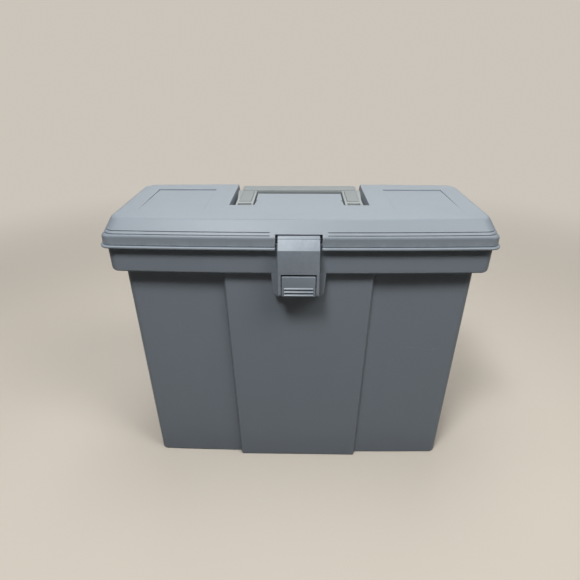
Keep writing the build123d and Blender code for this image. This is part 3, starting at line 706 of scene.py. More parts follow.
# %% Level outlines of the lid
def lid_levels():
    """Rows of (half x, z at the side, half y, z at the front, corner, bow, outside), from ceiling to top."""
    rows = [
        (INNER_X, CEILING_Z, INNER_Y, CEILING_Z, 0.0, 0.0, 0),
        (164.3, CEILING_Z, 58.0, CEILING_Z, 7.0, LID_BOW, 0),
        (167.2, 267.0, 62.6, 267.0, 7.0, LID_BOW, 0),
        (169.7, 262.4, 66.4, 262.4, 7.0, LID_BOW, 0),
        (169.7, 258.3, 66.4, 258.3, 7.0, LID_BOW, 0),
        (169.7, SEAT_Z, 66.4, SEAT_Z, 7.0, 2.2, 0),
        (172.0, SEAT_Z, 68.6, SEAT_Z, 7.8, LID_BOW, 0),
        (172.0, LIP_LOW, 68.6, LIP_LOW, 7.8, LID_BOW, 0),
    ]
    lip = rounded_path(
        [(-3.0, LIP_LOW), (0.0, LIP_LOW), (0.0, 253.1), (-2.1, 253.3), (-2.1, 253.8), (-1.4, LIP_HIGH)],
        [0, 0.9, 1.0, 0.2, 0.2, 0], 6,
    )[1:-1]
    rows += [(175.6 + inset, z, 72.4 + inset, z, 10.0, LID_BOW, 1) for inset, z in lip]
    side = rounded_path(
        [(174.2, LIP_HIGH), (174.2, 260.6), (172.1, SHOULDER_Z), (166.8, TOP_Z), (163.5, TOP_Z)],
        [0, 2.4, 3.0, 2.6, 0], 7,
    )
    front = rounded_path(
        [(70.8, LIP_HIGH), (70.8, 261.8), (69.9, SHOULDER_Z), (59.6, TOP_Z), (56.5, TOP_Z)],
        [0, 3.6, 0.0, 2.6, 0], 7,
    )
    rows += [(a, za, b, zb, 10.0, LID_BOW, 1) for (a, za), (b, zb) in zip(side, front)]
    rows.append((INNER_X, TOP_Z, INNER_Y, TOP_Z, 0.0, 0.0, 1))
    rows = np.array(rows)

    # Extra levels on the front slope, where the grooves and the notch's ceiling need an edge
    cuts = np.sort([NOTCH["top"]] + [z + way * GROOVE_HALF for z in GROOVES for way in (-1, 1)])
    plain = (266.8, 268.6, 271.0, 273.0, 273.7)
    slope = np.flatnonzero((rows[:, 6] == 1) & (rows[:, 3] < cuts[0]))[-1]
    heights = np.concatenate([np.repeat(cuts, 2), plain])
    share = (heights - rows[slope, 3]) / (rows[slope + 1, 3] - rows[slope, 3])
    extra = rows[slope] + share[:, None] * (rows[slope + 1] - rows[slope])
    rows = np.concatenate([rows[: slope + 1], extra, rows[slope + 1 :]])
    z_side = np.zeros(len(rows))
    z_side[slope + 1 : slope + 1 + 2 * len(cuts)] = np.tile([-1, 1], len(cuts))
    return rows, z_side


# %% Rings of points round a bowed rounded rectangle
def stretch(line, limit, fixed, end):
    """Keeps the middle of a line of columns and stretches what lies beyond |fixed| so |limit| meets end."""
    beyond = np.maximum(np.abs(line) - fixed, 0) * (end - fixed) / (limit - fixed)
    return np.sign(line) * (np.minimum(np.abs(line), fixed) + beyond)


def ring_points(half_x, half_y, corner, bow, lines_x, lines_y, limits, fixed, arc_steps):
    """Columns of points round each level: front, right, back and left lines with an arc between each.

    A point on a corner is centre + r (sin t, -cos t); the bow moves it by bow * (1 - (x / a)^2) in y.
    The last output is how far the point faces the front, cos t.
    """
    a, b, r = (np.asarray(value, float)[:, None] for value in (half_x, half_y, corner))
    turn = np.radians(np.linspace(0, 90, arc_steps + 2)[1:-1])[None, :]
    run_x = stretch(lines_x[None, :], limits[0], fixed[0], a - r)
    run_y = stretch(lines_y[None, :], limits[1], fixed[1], b - r)
    arc_x, arc_y = a - r + r * np.sin(turn), b - r + r * np.cos(turn)
    flip_x, flip_y, back_x, back_y = run_x[:, ::-1], run_y[:, ::-1], arc_x[:, ::-1], arc_y[:, ::-1]
    x = np.concatenate([run_x, arc_x, a + 0 * run_y, back_x, flip_x, -arc_x, -a + 0 * run_y, -back_x], axis=1)
    y = np.concatenate([-b + 0 * run_x, -arc_y, run_y, back_y, b + 0 * run_x, arc_y, flip_y, -back_y], axis=1)
    face = np.cos(turn[0])
    still_x, still_y = np.ones(lines_x.size), np.zeros(lines_y.size)
    facing = np.concatenate([still_x, face, still_y, -face[::-1], -still_x, -face, still_y, face[::-1]])
    middle = np.asarray(bow, float)[:, None] * (1 - (x / a) ** 2)
    return x, y + np.sign(y) * np.clip(np.abs(facing) * 4, 0, 1) * middle, facing


def ring_sides(side_x, side_y, arc_steps):
    """The side that each column's x and y count for, in the order of ring_points."""
    arc = np.zeros(arc_steps)
    zero_x, zero_y = 0 * side_x, 0 * side_y
    in_x = np.concatenate([side_x, arc, zero_y, arc, side_x[::-1], arc, zero_y, arc])
    in_y = np.concatenate([zero_x, arc, side_y, arc, zero_x, arc, side_y[::-1], arc])
    return in_x, in_y


# %% Cutting the lid by moving its points
def carve_recess(x, y, z, skin):
    """Heights after the handle recess: the floor where the signed distance s > 0, else a rounded brink.

    s is the least distance to a wall of the U; the sheet inside the lid uses s + skin, so walls keep
    their thickness. The two tail wells lie deeper, and slots in the block take the handle's stubs.
    """
    across = np.abs(x)
    block = np.maximum(across - RECESS["block_half"], y - RECESS["block_back"])
    outer = np.minimum(RECESS["half"] - across, y - RECESS["front"])
    s = np.minimum(outer, block) + skin
    well = np.minimum.reduce([RECESS["half"] - across, across - RECESS["block_half"],
                              y - RECESS["front"], WELL_BACK - y]) + skin
    brink = edge_drop(-s, WALL_ROUND) * np.clip(z - RECESS["floor"], 0, 1)
    floor = RECESS["floor"] - skin + edge_drop(s, WALL_ROUND / 2)
    floor = np.where(well > 0, WELL_FLOOR - skin + edge_drop(well, WALL_ROUND / 2), floor)
    carved = np.where(s > 0, np.minimum(z, floor), z - brink)
    lift = y - SOCKET["y"]
    slot = (across > SOCKET["inner"]) & (across < RECESS["block_half"]) & (np.abs(lift) < SOCKET["throat"])
    seat = SOCKET["z"] - np.sqrt(np.maximum(SOCKET["radius"] ** 2 - lift**2, 0))
    return np.where(slot & (skin == 0), np.minimum(carved, seat), carved)


def tray_floor(x, y):
    """Depth of the shallow trays: it grows evenly from the front edge to the back, with rounded sides."""
    across = np.abs(x)
    s = np.minimum.reduce([across - TRAY["inner"], TRAY["outer"] - across,
                           y - TRAY["front"], TRAY["back"] - y])
    share = (y - TRAY["front"]) / (TRAY["back"] - TRAY["front"])
    fall = TRAY["depth"] * share
    return np.where(s > 0, np.maximum(fall - edge_drop(s, TRAY_ROUND), 0), 0)


def cut_grooves(x, y, across, heights, facing, outer):
    """Grooves that follow the front slope and fade out on the corners: points move in along the facing."""
    depth = np.zeros(x.shape)
    for height in GROOVES:
        level = np.abs(heights - height) < GROOVE_HALF
        depth += level[:, None] * (across > GROOVE_START) * GROOVE_DEPTH
    depth *= outer * np.clip((facing[None, :] - 0.5) * 6, 0, 1)
    moved_x = x - depth * np.sign(x) * np.sqrt(1 - facing[None, :] ** 2)
    return moved_x, y + depth * facing[None, :]


def cut_notch(y, z, across, test_z, facing, outer):
    """The notch in the front rim, and inside it the thick cheeks that hold the latch's pin."""
    front = facing[None, :] > 0.99
    in_notch = front & (across < NOTCH["half"]) & (test_z < NOTCH["top"]) & (outer | (z < SEAT_Z))
    in_cheek = front & (across < NOTCH["half"] + NOTCH["cheek"]) & ~outer & (z >= SEAT_Z)
    y = np.where(in_notch, np.maximum(y, NOTCH["back"]), y)
    brim = outer & front & (test_z < NOTCH["top"]) & (across > NOTCH["half"])
    y = y + brim * edge_drop(across - NOTCH["half"], WALL_ROUND)
    y = np.where(in_cheek & (z < NOTCH["cheek_top"]), np.maximum(y, NOTCH["back"] + SKIN), y)
    return y, np.where(in_notch, np.maximum(z, SEAT_Z), z)


# %% The whole lid
def lid_shell():
    """The lid as one closed sheet: ceiling grid, rings down the inside and up the outside, top grid."""
    rows, z_side = lid_levels()
    arc_steps = LID_ARC_STEPS
    half_x, z_at_side, half_y, z_at_front, corner, bow, outside = rows.T
    x, y, facing = ring_points(
        half_x, half_y, corner, bow, LID_X, LID_Y, (INNER_X, INNER_Y), (STRAIGHT_X, STRAIGHT_Y), arc_steps
    )
    share = facing[None, :] ** 2
    z = z_at_front[:, None] * share + z_at_side[:, None] * (1 - share)
    in_x, in_y = ring_sides(LID_X_SIDE, LID_Y_SIDE, arc_steps)
    test_x, test_y = x + HAIR * in_x, y + HAIR * in_y
    test_z = z + HAIR * z_side[:, None]
    outer = outside[:, None] == 1
    across = np.abs(test_x)
    x, y = cut_grooves(x, y, across, z_at_front + HAIR * z_side, facing, outer)
    y, z = cut_notch(y, z, across, test_z, facing, outer)
    z = np.where(outer, carve_recess(test_x, test_y, z, 0.0), carve_recess(test_x, test_y, z, SKIN))
    rings = np.stack([x, y, z], axis=-1)

    grid_x, grid_y = np.meshgrid(LID_X, LID_Y)
    see_x, see_y = grid_x + HAIR * LID_X_SIDE[None, :], grid_y + HAIR * LID_Y_SIDE[:, None]
    top = carve_recess(see_x, see_y, TOP_Z - tray_floor(see_x, see_y), 0.0)
    ceiling = carve_recess(see_x, see_y, np.full(grid_x.shape, CEILING_Z), SKIN)
    plateau = [np.stack([grid_x, grid_y, height], axis=-1) for height in (top, ceiling)]
    points = np.concatenate([rings.reshape(-1, 3)] + [sheet.reshape(-1, 3) for sheet in plateau])
    first = rings.shape[0] * rings.shape[1]
    count = grid_x.size
    faces = np.concatenate([
        grid_faces(*rings.shape[:2], closed=True),
        grid_faces(*grid_x.shape, first=first),
        grid_faces(*grid_x.shape, first=first + count),
    ])
    return points * MM, faces


# %% Build the lid's shell
lid_piece = mesh_object("lid_shell", *lid_shell())
finish_shell(lid_piece, lid_plastic)
print("lid shell", len(lid_piece.data.polygons), "faces")

# %% Painted shade in the lid's recess and along the trays' inner side
# Strength of the painted shade in the recess and of the painted line along the trays, and the depth over which
# the recess darkens
RECESS_SHADE, TRAY_SHADE_LINE = 0.9, 0.42
SHADE_FADE = 12


def paint_recess_shade(mesh):
    """Edge attribute below 0 for painted shade: darker deeper in the recess, and a fine line along the trays'
    inner side.

    It goes by place alone, so the sheet's inner side under the recess gets it as well.
    """
    place, edge = read_edges(mesh)
    x, y, z = place.T / MM
    across = np.abs(x)
    inside = (across < RECESS["half"] + 0.1) & (y > RECESS["front"] - 0.1) & (z > WELL_FLOOR - 0.1)
    recess_shade = RECESS_SHADE * np.clip((TOP_Z - 1 - z) / SHADE_FADE, 0, 1) * inside
    share = np.clip((y - TRAY["front"]) / (TRAY["back"] - TRAY["front"]), 0, 1)
    inner_side = (np.abs(across - TRAY["inner"] - 0.4) < 0.5) & (z > TOP_Z - 1.5)
    recess_shade = np.maximum(recess_shade, TRAY_SHADE_LINE * inner_side * (share < 1) * np.clip(4 * share, 0, 1))
    mesh.attributes["edge"].data.foreach_set("value", np.where(recess_shade > 0, np.minimum(edge, -recess_shade), edge))


paint_recess_shade(lid_piece.data)

# %% [markdown]
# ## The tub
# The tub's walls lean outward as they rise, so half width and half depth are straight-line functions of
# height. The middle panel on the front and back is a step in depth whose edges follow a slanted flank;
# its columns spread with height, which keeps the flank's edge straight up the whole wall.

# %% The tub's measures, in millimetres
TUB_BOW = 2.2
TUB_WALL = 2.5
BASE_HALF = (154.2, 52.1)
SHELF_HALF = (160.4, 58.2)
SHELF_HEIGHT = 227.2
RIM_HEIGHT = 256.0
FOOT_ROUND = 1.6
SKIRT_HALF = (170.6, 67.3)
SKIRT_CORNER, TUB_CORNER = 9.0, 7.0
SKIRT_ROUND, SKIRT_SIDE_ROUND = 1.4, 3.4
SKIRT_FLOOR = 229.7
PANEL_PROUD = 4.6
PANEL_SIDE = 2.6
PANEL_HALF = (61.6, 67.6)
PANEL_ROUND = 1.2
FLANK = rounded_path(
    [(-4.0, 1.0 * PANEL_PROUD), (0.0, PANEL_PROUD), (PANEL_SIDE, 0.0), (PANEL_SIDE + 3.0, 0.0)],
    [0, PANEL_ROUND, 0.6, 0], 6,
)


# %% Level outlines of the tub
def tub_levels():
    """Rows of (z, half x, half y, corner, inset, share of panel, scale), from the outer pole to the inner."""

    def wall(z, inset):
        share = z / SHELF_HEIGHT
        half_x = BASE_HALF[0] + share * (SHELF_HALF[0] - BASE_HALF[0]) - inset
        half_y = BASE_HALF[1] + share * (SHELF_HALF[1] - BASE_HALF[1]) - inset
        return (z, half_x, half_y, TUB_CORNER - inset, inset, 1.0, 1.0)

    shares = (0.0, 0.06, 0.2, 0.4, 0.7, 1.0)
    foot = [(FOOT_ROUND * share, FOOT_ROUND * (1 - math.sqrt(1 - (1 - share) ** 2))) for share in shares]
    rows = [(*wall(0.0, FOOT_ROUND)[:6], scale) for scale in (0.0, 0.5, 0.97)]
    rows += [wall(z, inset) for z, inset in foot]
    rows += [wall(z, 0.0) for z in (40.0, 90.0, 140.0, 190.0, SHELF_HEIGHT - 1.0, SHELF_HEIGHT)]
    skirt = rounded_path(
        [(-6.0, SHELF_HEIGHT), (0.0, SHELF_HEIGHT), (0.7, RIM_HEIGHT), (-1.8, RIM_HEIGHT),
         (-2.5, SKIRT_FLOOR), (-9.0, SKIRT_FLOOR)],
        [0, SKIRT_SIDE_ROUND, 0.6, 0.6, 1.0, 0], 7,
    )
    for number, (step, z) in enumerate(skirt):
        # At the front the lower edge has its own, tighter rounding
        below = min(max(SHELF_HEIGHT + SKIRT_ROUND - z, 0.0), SKIRT_ROUND)
        rounding = SKIRT_ROUND - math.sqrt(SKIRT_ROUND**2 - below**2)
        at_end = number in (0, len(skirt) - 1)
        front = step if at_end or z > SHELF_HEIGHT + SKIRT_SIDE_ROUND else -rounding
        half_x, half_y, corner = SKIRT_HALF[0] + step, SKIRT_HALF[1] + front, SKIRT_CORNER + min(step, 0.0)
        rows.append((z, half_x, half_y, corner, 0.0, 0.0, 1.0))
    rows += [wall(z, TUB_WALL) for z in (SKIRT_FLOOR, 228.7, 190.0, 140.0, 90.0, 40.0, 4.0)]
    rows += [wall(2.8, TUB_WALL + 0.4), wall(TUB_WALL, TUB_WALL + 1.6)]
    rows += [(*wall(TUB_WALL, TUB_WALL + 1.6)[:6], scale) for scale in (0.5, 0.0)]
    return np.array(rows)


def tub_shell():
    """The tub as one closed sheet of rings, with the panel's step h(x) added to the front and back.

    Columns on the front sit at x(line): straight from the middle to the panel's edge, then over the
    flank, then out to the corner. Depth is y = -(b + bow (1 - (x / a)^2)), mixed with the flat panel's
    y = -(b + bow + proud) by the share of the flank's height.
    """
    z, half_x, half_y, corner, inset, panel, scale = tub_levels().T
    middle = np.linspace(-1, 1, 17)
    outward = np.linspace(0, 1, 8)[1:]
    flank_x, flank_h = FLANK[1:-1].T
    edge = (PANEL_HALF[0] + z / SHELF_HEIGHT * (PANEL_HALF[1] - PANEL_HALF[0]) - inset)[:, None]
    edge = np.minimum(edge, PANEL_HALF[1])
    reach = edge + flank_x[None, :]
    run_end = (half_x - corner)[:, None]
    beyond = reach[:, -1:] + outward[None, :] * (run_end - reach[:, -1:])
    right = np.concatenate([reach, beyond], axis=1)
    x = np.concatenate([-right[:, ::-1], middle[None, :] * reach[:, :1], right], axis=1)
    height = np.concatenate([flank_h, 0 * outward]) / PANEL_PROUD
    share = np.concatenate([height[::-1], np.ones(middle.size), height])[None, :] * panel[:, None]

    a, b, r = half_x[:, None], half_y[:, None], corner[:, None]
    bow = np.where(panel > 0, TUB_BOW, LID_BOW)[:, None]
    bowed = b + bow * (1 - (x / a) ** 2)
    front = bowed * (1 - share) + share * (b + TUB_BOW + PANEL_PROUD)
    turn = np.radians(np.linspace(0, 90, 12)[1:-1])[None, :]
    arc_x, arc_y = a - r + r * np.sin(turn), b - r + r * np.cos(turn)
    arc_y = arc_y + bow * (1 - (arc_x / a) ** 2) * np.clip(4 * np.cos(turn), 0, 1)
    side_y = np.linspace(-1, 1, 13)[None, :] * (b - r)
    ones = np.ones(side_y.shape)
    ring_x = [x, arc_x, a * ones, arc_x[:, ::-1], x[:, ::-1], -arc_x, -a * ones, -arc_x[:, ::-1]]
    ring_y = [-front, -arc_y, side_y, arc_y[:, ::-1], front[:, ::-1], arc_y, side_y[:, ::-1], -arc_y[:, ::-1]]
    ring_x = np.concatenate(ring_x, axis=1) * scale[:, None]
    ring_y = np.concatenate(ring_y, axis=1) * scale[:, None]
    points = np.stack([ring_x, ring_y, np.broadcast_to(z[:, None], ring_x.shape)], axis=-1)
    return points.reshape(-1, 3) * MM, grid_faces(*ring_x.shape, closed=True)


# %% Build the tub's shell
tub_piece = mesh_object("tub_shell", *tub_shell())
finish_shell(tub_piece, tub_plastic)
print("tub shell", len(tub_piece.data.polygons), "faces")

# %% [markdown]
# ## Solid lugs and ribs
# Everything that stands on the shells is a flat outline with rounded corners, carried along a straight
# line and rounded where it ends: a prism. The rounding is made of outlines inset along their own normals
# by r (1 - sin t) while the end plane moves in by r (1 - cos t).

# %% Rounded prisms
PLANES = {"x": (1, 2, 0), "y": (0, 2, 1), "z": (0, 1, 2)}


def inset_outline(outline, distance):
    """Outline moved inward along the corner normals m = (n1 + n2) / (1 + n1 . n2)."""
    along = np.roll(outline, -1, axis=0) - outline
    along /= np.linalg.norm(along, axis=1, keepdims=True)
    out = np.stack([along[:, 1], -along[:, 0]], axis=1)
    previous = np.roll(out, 1, axis=0)
    corner = (out + previous) / (1 + (out * previous).sum(axis=1, keepdims=True))
    return outline - distance * corner


def stacked(axis, outline, insets, places):
    """Points and faces of an outline inset by each amount at each place, with flat caps at both ends."""
    rings = np.array([inset_outline(outline, distance) for distance in insets])
    points = np.zeros((*rings.shape[:2], 3))
    first, second, third = PLANES[axis]
    points[..., first], points[..., second] = rings[..., 0], rings[..., 1]
    points[..., third] = np.asarray(places, float)[:, None]
    columns = len(outline)
    faces = grid_faces(len(rings), columns, closed=True).tolist()
    faces += [list(range(columns)), list(range((len(rings) - 1) * columns, len(rings) * columns))]
    return points.reshape(-1, 3) * MM, faces


def counter_clockwise(outline):
    """Outline without repeated points, turned so that it runs counter-clockwise."""
    outline = np.asarray(outline, float)
    outline = outline[np.linalg.norm(np.roll(outline, -1, axis=0) - outline, axis=1) > 1e-6]
    following = np.roll(outline, -1, axis=0)
    area = (outline[:, 0] * following[:, 1] - following[:, 0] * outline[:, 1]).sum()
    return outline if area > 0 else outline[::-1]


def prism(axis, outline, low, high, radius, steps=5):
    """Points and faces of an outline carried along an axis from low to high, with both ends rounded."""
    turn = np.radians(np.linspace(0, 90, steps))
    inset, shift = radius * (1 - np.sin(turn)), radius * (1 - np.cos(turn))
    insets = np.concatenate([inset, inset[::-1]])
    places = np.concatenate([low + shift, high - shift[::-1]])
    return stacked(axis, counter_clockwise(outline), insets, places)


def circle(centre, radius, count=48):
    """Evenly spaced points on a circle."""
    angle = np.arange(count) * 2 * math.pi / count
    return np.stack([centre[0] + radius * np.cos(angle), centre[1] + radius * np.sin(angle)], axis=1)


def joined(parts):
    """Several prisms as one set of points and faces."""
    starts = np.cumsum([0] + [len(points) for points, faces in parts[:-1]])
    points = np.concatenate([points for points, faces in parts])
    return points, [[int(start) + corner for corner in face] for start, (_, faces) in zip(starts, parts)
                    for face in faces]


# %% Boss, catch nose, folder rails and rear brackets on the tub
boss_outline = rounded_path(
    [(-24.6, 235.2), (-24.6, 227.2), (-22.9, 208.1), (-19.3, 204.5),
     (19.3, 204.5), (22.9, 208.1), (24.6, 227.2), (24.6, 235.2)],
    [0.6, 0.0, 1.2, 1.2, 1.2, 1.2, 0.0, 0.6], 5, closed=True,
)
nose_outline = rounded_path(
    [(-68.5, 227.2), (-75.4, 227.2), (-75.4, 229.6), (-68.5, 234.7)], [0, 0.3, 0.6, 0], 5, closed=True
)
HINGE, KNUCKLE_ROUND = (75.5, 247.0), 4.2
BRACKET_MIDDLE, BRACKET_HALF = 105.0, 12
KNUCKLE_NEAR, KNUCKLE_FAR = 12.4, 21.9
RAIL_NEAR, RAIL_FAR = 155.5, 160.4
bracket_outline = rounded_path(
    [(66.3, 235.75), (75.5, 242.8), (75.5, 247.0), (66.3, 247.0)], [0, 0, 0, 0], 2, closed=True
)
tub_parts = [
    prism("y", boss_outline, -71.2, -58.2, 0.8),
    prism("x", nose_outline, -11.0, 11.0, 0.4),
]
for side in (-1, 1):
    rail = np.array([(-52, 227.2), (52, 227.2), (52, 240.0), (-52, 240.0)], float)
    rail = rounded_path(rail, [0, 0, 1.0, 1.0], 5, closed=True)
    tub_parts.append(prism("x", rail, *sorted((side * RAIL_NEAR, side * RAIL_FAR)), 0.5))
    middle = side * BRACKET_MIDDLE
    for outline in (bracket_outline, circle(HINGE, KNUCKLE_ROUND)):
        tub_parts.append(prism("x", outline, middle - BRACKET_HALF, middle + BRACKET_HALF, 0.4))
tub_lugs = mesh_object("tub_lugs", *joined(tub_parts))
finish_shell(tub_lugs, tub_plastic)
print("tub lugs", len(tub_lugs.data.polygons), "faces")

# %% Knuckles and heels on the lid
lug_outline = rounded_path(
    [(70.3, 250.8), (71.3, 247.0), (79.7, 247.0), (76.5, 258.4), (70.3, 258.4)], [0, 0, 0, 2.0, 0], 6,
    closed=True,
)
heel = np.array([(76.1, 248.04), (74.9, 245.96), (80.1, 242.96), (81.3, 245.04)])
lid_parts = []
for middle in (-BRACKET_MIDDLE, BRACKET_MIDDLE):
    for flank in (-1, 1):
        low, high = sorted((middle + flank * KNUCKLE_NEAR, middle + flank * KNUCKLE_FAR))
        lid_parts.append(prism("x", lug_outline, low, high, 0.4))
        lid_parts.append(prism("x", circle(HINGE, KNUCKLE_ROUND), low, high, 0.4))
        lid_parts.append(prism("x", circle((80.7, 244.0), 1.2, 24), low, high, 0.3))
        lid_parts.append(prism("x", heel, low, high, 0.3))
lid_lugs = mesh_object("lid_lugs", *joined(lid_parts))
finish_shell(lid_lugs, lid_plastic)
print("lid lugs", len(lid_lugs.data.polygons), "faces")

# %% Put the tub's and lid's pieces on their bodies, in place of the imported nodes
for piece, body in ((tub_piece, "tub"), (tub_lugs, "tub"), (lid_piece, "lid"), (lid_lugs, "lid")):
    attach(piece, body)
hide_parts("body_tub")
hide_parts("body_tub")
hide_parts("lid")
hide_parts("lid")
print("tub and lid are in place")

# %% [markdown]
# ## Handle
# The handle is a U-shaped channel, open below so that it moulds with even walls: one closed sheet that
# runs over the top, down the outside, under the edge and up into the channel. Ribs cross the grip's
# channel, and solid blocks carry the two stubs. The raised pads on the legs and the grip are a piece of
# their own, so that they can be a little darker and duller. Each pad's foot flares out in a small fillet,
# whose edge attribute is set to -1, so that painted shade shows there as a fine dark line.


# %% A raised pad
def pad(low_x, high_x, low_y, high_y, base, top, corner=1.2, brink=0.4):
    """Raised pad: a fillet at its foot, upright sides and a rounded brink."""
    corners = [(low_x, low_y), (high_x, low_y), (high_x, high_y), (low_x, high_y)]
    outline = counter_clockwise(rounded_path(corners, corner, 5, closed=True))
    turn = np.radians(np.linspace(0, 90, 5))
    insets = np.concatenate([[-0.50, -0.45, -0.12, -0.03], brink * (1 - np.cos(turn))])
    places = np.concatenate([
        [base - 0.02, base + 0.02, base + 0.06, base + 0.16], top - brink * (1 - np.sin(turn))
    ])
    return stacked("z", outline, insets, places)


# %% The handle's measures and outlines, in millimetres
HANDLE_TOP, HANDLE_LOW, PAD_TOP = 274.2, 263.5, 274.8
LEG_INNER, LEG_OUTER, LEG_FLARE, GRIP_END = 44.1, 60.9, 63.8, 60.6
GRIP_FRONT, GRIP_BACK, BLOCK_END = 37.4, 58.2, 4.0
PAD_INNER, PAD_OUTER, PAD_FRONT, PAD_FOOT = 46.8, 58.2, -3.6, 0.2
TOP_ROUND = 0.3
STUB_ROUND = 3.0
u_half = [(LEG_INNER, GRIP_FRONT), (LEG_INNER, BLOCK_END), (LEG_OUTER, BLOCK_END), (LEG_FLARE, 38.5),
          (GRIP_END, 41.5), (GRIP_END, GRIP_BACK)]
u_outline = counter_clockwise(rounded_path(
    u_half + [(-x, y) for x, y in reversed(u_half)],
    [1.5, 0, 0, 1.0, 1.0, 3.0, 3.0, 1.0, 1.0, 0, 0, 1.5], 6, closed=True,
))
quarter = np.radians(np.linspace(0, 90, 5))
u_insets = np.concatenate([TOP_ROUND * (1 - np.sin(quarter)), [0.0, 0.1, 0.4, 1.6, 2.1, 2.4, 2.4]])
u_places = np.concatenate([
    HANDLE_TOP - 0.04 - TOP_ROUND * (1 - np.cos(quarter)),
    [264.0, 263.65, HANDLE_LOW, HANDLE_LOW, 263.7, 264.2, 271.8],
])
rib = np.array([(39.0, 263.9), (56.6, 263.9), (56.6, 272.6), (39.0, 272.6)])
cheek_end = rounded_path(
    [(-12.5, HANDLE_LOW), (BLOCK_END + 0.6, HANDLE_LOW), (BLOCK_END + 0.6, HANDLE_TOP),
     (-15.6, HANDLE_TOP), (-15.6, 269.8), (-13.9, 265.5)],
    [2.0, 0, 0, 0.6, 1.5, 2.0], 6, closed=True,
)
pad_end = rounded_path(
    [(-12.0, HANDLE_LOW), (BLOCK_END + 0.6, HANDLE_LOW), (BLOCK_END + 0.6, HANDLE_TOP), (-4.2, HANDLE_TOP),
     (-8.3, HANDLE_TOP - 0.3), (-8.3, 270.4), (-13.4, 269.6), (-13.6, 265.5)],
    [2.0, 0, 0, 0, 0.35, 0.8, 0.8, 2.0], 6, closed=True,
)
print("handle outline", len(u_outline), "points")

# %% Build the handle
handle_parts = [stacked("z", u_outline, u_insets, u_places)]
for rib_x in (-34.2, -11.4, 11.4, 34.2):
    handle_parts.append(prism("x", rib, rib_x - 0.8, rib_x + 0.8, 0.2))
pads = [pad(-PAD_OUTER, PAD_OUTER, 38.5, 56.2, HANDLE_TOP - 0.04, PAD_TOP, brink=0.3)]
for side in (-1, 1):
    for outline, low, high in (
        (cheek_end, LEG_INNER, PAD_INNER - 0.7), (cheek_end, PAD_OUTER + 0.2, LEG_OUTER),
        (pad_end, PAD_INNER - 1.0, PAD_OUTER + 0.5),
    ):
        handle_parts.append(prism("x", outline, *sorted((side * low, side * high)), 0.3))
    stub = sorted((side * 41.2, side * 44.6))
    handle_parts.append(prism("x", circle((SOCKET["y"], SOCKET["z"]), STUB_ROUND, 40), *stub, 0.3))
    across = sorted((side * PAD_INNER, side * PAD_OUTER))
    pads.append(pad(*across, PAD_FRONT, 37.2, HANDLE_TOP, PAD_TOP))
handle_piece = mesh_object("handle_piece", *joined(handle_parts))
finish_shell(handle_piece, handle_plastic)
print("handle", len(handle_piece.data.polygons), "faces")

# %% Build the handle's pads
pads_piece = mesh_object("handle_pads", *joined(pads))
finish_shell(pads_piece, pad_plastic)
pad_place, pad_edge = read_edges(pads_piece.data)
# Painted shade: edge attribute -1 at each pad's foot, for a fine dark line
shaded_foot = pad_place[:, 2] < (HANDLE_TOP + PAD_FOOT) * MM
pads_piece.data.attributes["edge"].data.foreach_set("value", np.where(shaded_foot, -1.0, pad_edge))
print("pads", len(pads_piece.data.polygons), "faces")

# %% [markdown]
# ## Latch arm and release button
# The arm hangs from its pin: a rolled top with a raised lip, a sloping face that catches the light, a
# front plate and two cheeks that run down beside the button. The button's finger ribs are wedges, sloping
# above and undercut below, so each shows a bright band over a dark one.

# %% Build the latch arm
ARM_AXIS = (-72.4, 260.3)
ARM_TOP = (-74.40, 261.96)
arm_plate = rounded_path(
    [ARM_TOP, (-81.8, 253.1), (-81.8, 230.9), (-79.5, 230.9), (-79.5, 252.1), ARM_AXIS],
    [0, 0.8, 0.25, 0.1, 0, 0], 6, closed=True,
)
cheek = rounded_path(
    [ARM_TOP, (-81.77, 253.1), (-81.77, 210.4), (-73.8, 210.4), (-72.8, 214.1), (-72.8, 257.7), ARM_AXIS],
    [0, 0.8, 1.0, 0.4, 0.4, 0.4, 0], 6, closed=True,
)
lip = rounded_path(
    [(-75.11, 261.13), (-75.21, 261.47), (-73.62, 263.45), (-70.95, 263.35), (-71.7, 261.6)],
    [0, 0.12, 0.7, 0.5, 0], 6, closed=True,
)
crossbar = np.array([(-75.2, 210.45), (-73.83, 210.45), (-73.83, 214.0), (-75.2, 214.0)])
arm_parts = [
    prism("x", arm_plate, -18.17, 18.17, 0.7),
    prism("x", lip, -18.1, 18.1, 0.3),
    prism("x", cheek, -18.2, -15.6, 0.5),
    prism("x", cheek, 15.6, 18.2, 0.5),
    prism("x", circle(ARM_AXIS, 2.58), -18.15, 18.15, 0.4),
    prism("x", crossbar, -18.0, 18.0, 0.2),
]
arm_piece = mesh_object("latch_piece", *joined(arm_parts))
finish_shell(arm_piece, latch_plastic)
print("latch arm", len(arm_piece.data.polygons), "faces")

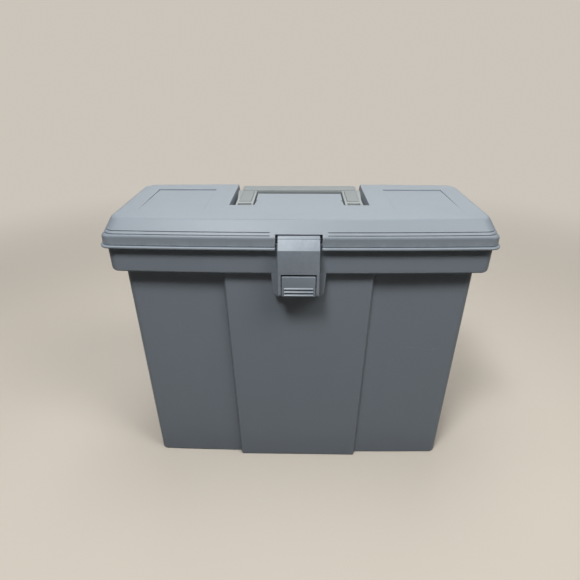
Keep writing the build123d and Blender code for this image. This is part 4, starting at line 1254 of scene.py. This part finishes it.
# %% Build the release button
BUTTON_AXIS = (-77.4, 217.7)
button_face = rounded_path(
    [(-14.9, 209.4), (14.9, 209.4), (14.9, 229.1), (-14.9, 229.1)], 1.2, 6, closed=True
)
backing = np.array([(-80.8, 209.8), (-79.4, 209.8), (-79.4, 226.9), (-80.8, 226.9)])
barrel_block = np.array([(-80.0, 215.4), (-77.4, 215.4), (-77.4, 220.0), (-80.0, 220.0)])
tooth = np.array([(-79.9, 226.9), (-75.7, 226.9), (-75.7, 225.3), (-79.9, 221.2)])
button_parts = [
    prism("y", button_face, -81.8, -80.5, 0.6),
    prism("x", backing, -14.6, 14.6, 0.1),
    prism("x", circle(BUTTON_AXIS, 2.3), -14.9, 14.9, 0.3),
    prism("x", barrel_block, -14.8, 14.8, 0.1),
    prism("x", tooth, -9.5, 9.5, 0.2),
]
for rib_z in (211.3, 214.5, 217.7):
    wedge = rounded_path(
        [(-81.0, rib_z + 0.75), (-81.8, rib_z + 0.75), (-82.7, rib_z - 0.15), (-82.7, rib_z - 0.55),
         (-81.8, rib_z - 0.65), (-81.0, rib_z - 0.65)],
        [0, 0.2, 0.2, 0.15, 0, 0], 5, closed=True,
    )
    button_parts.append(prism("x", wedge, -12.9, 12.9, 0.25))
button_piece = mesh_object("button_piece", *joined(button_parts))
finish_shell(button_piece, latch_plastic)
print("button", len(button_piece.data.polygons), "faces")

# %% Put the handle, latch arm and button on their bodies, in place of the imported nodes
for piece, node, body, finish_slot in (
    (handle_piece, "carry_handle", "carry_handle", "handle_plastic"),
    (pads_piece, "carry_handle", "carry_handle", "handle_plastic"),
    (arm_piece, "latch_arm", "latch_arm", "latch_plastic"),
    (button_piece, "release_button", "release_button", "latch_plastic"),
):
    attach(piece, body)
    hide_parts(node)
    print(node, len(piece.data.polygons), "faces")

# %% [markdown]
# ## Pins
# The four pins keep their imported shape. A copy of each is merged, its flat faces are joined into whole
# polygons, and a fine bevel rounds the cut ends.

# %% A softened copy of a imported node
FLAT_ANGLE = math.radians(0.4)
BEVEL_ANGLE = math.radians(60)
BEVEL_WIDTH, BEVEL_STEPS = 0.0002, 2


def softened(name, node, body):
    """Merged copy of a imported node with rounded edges; it rides on the node's body and replaces the node."""
    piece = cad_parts[node].copy()
    piece.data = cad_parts[node].data.copy()
    piece.name = name
    piece.data.name = name
    piece.parent = None
    for key in list(piece.keys()):
        del piece[key]
    bpy.context.scene.collection.objects.link(piece)
    work = bmesh.new()
    work.from_mesh(piece.data)
    bmesh.ops.remove_doubles(work, verts=work.verts, dist=2e-6)
    bmesh.ops.dissolve_limit(work, angle_limit=FLAT_ANGLE, verts=work.verts, edges=work.edges)
    edges = [edge for edge in work.edges if edge.calc_face_angle(0.0) > BEVEL_ANGLE]
    bmesh.ops.bevel(
        work, geom=edges, offset=BEVEL_WIDTH, segments=BEVEL_STEPS, profile=0.5, affect="EDGES",
        clamp_overlap=True,
    )
    bmesh.ops.recalc_face_normals(work, faces=work.faces)
    work.to_mesh(piece.data)
    work.free()
    piece.data.shade_smooth()
    piece.data.materials.clear()
    finish_shell(piece, FINISHES[node])
    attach(piece, body)
    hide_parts(node)
    print(name, len(piece.data.polygons), "faces")


# %% The four pins
PIN_BODIES = {
    "latch_pin": "lid",
    "hinge_pin_left": "lid",
    "hinge_pin_right": "lid",
    "button_pin": "latch_arm",
}
for node, body in PIN_BODIES.items():
    softened(node + "_piece", node, body)
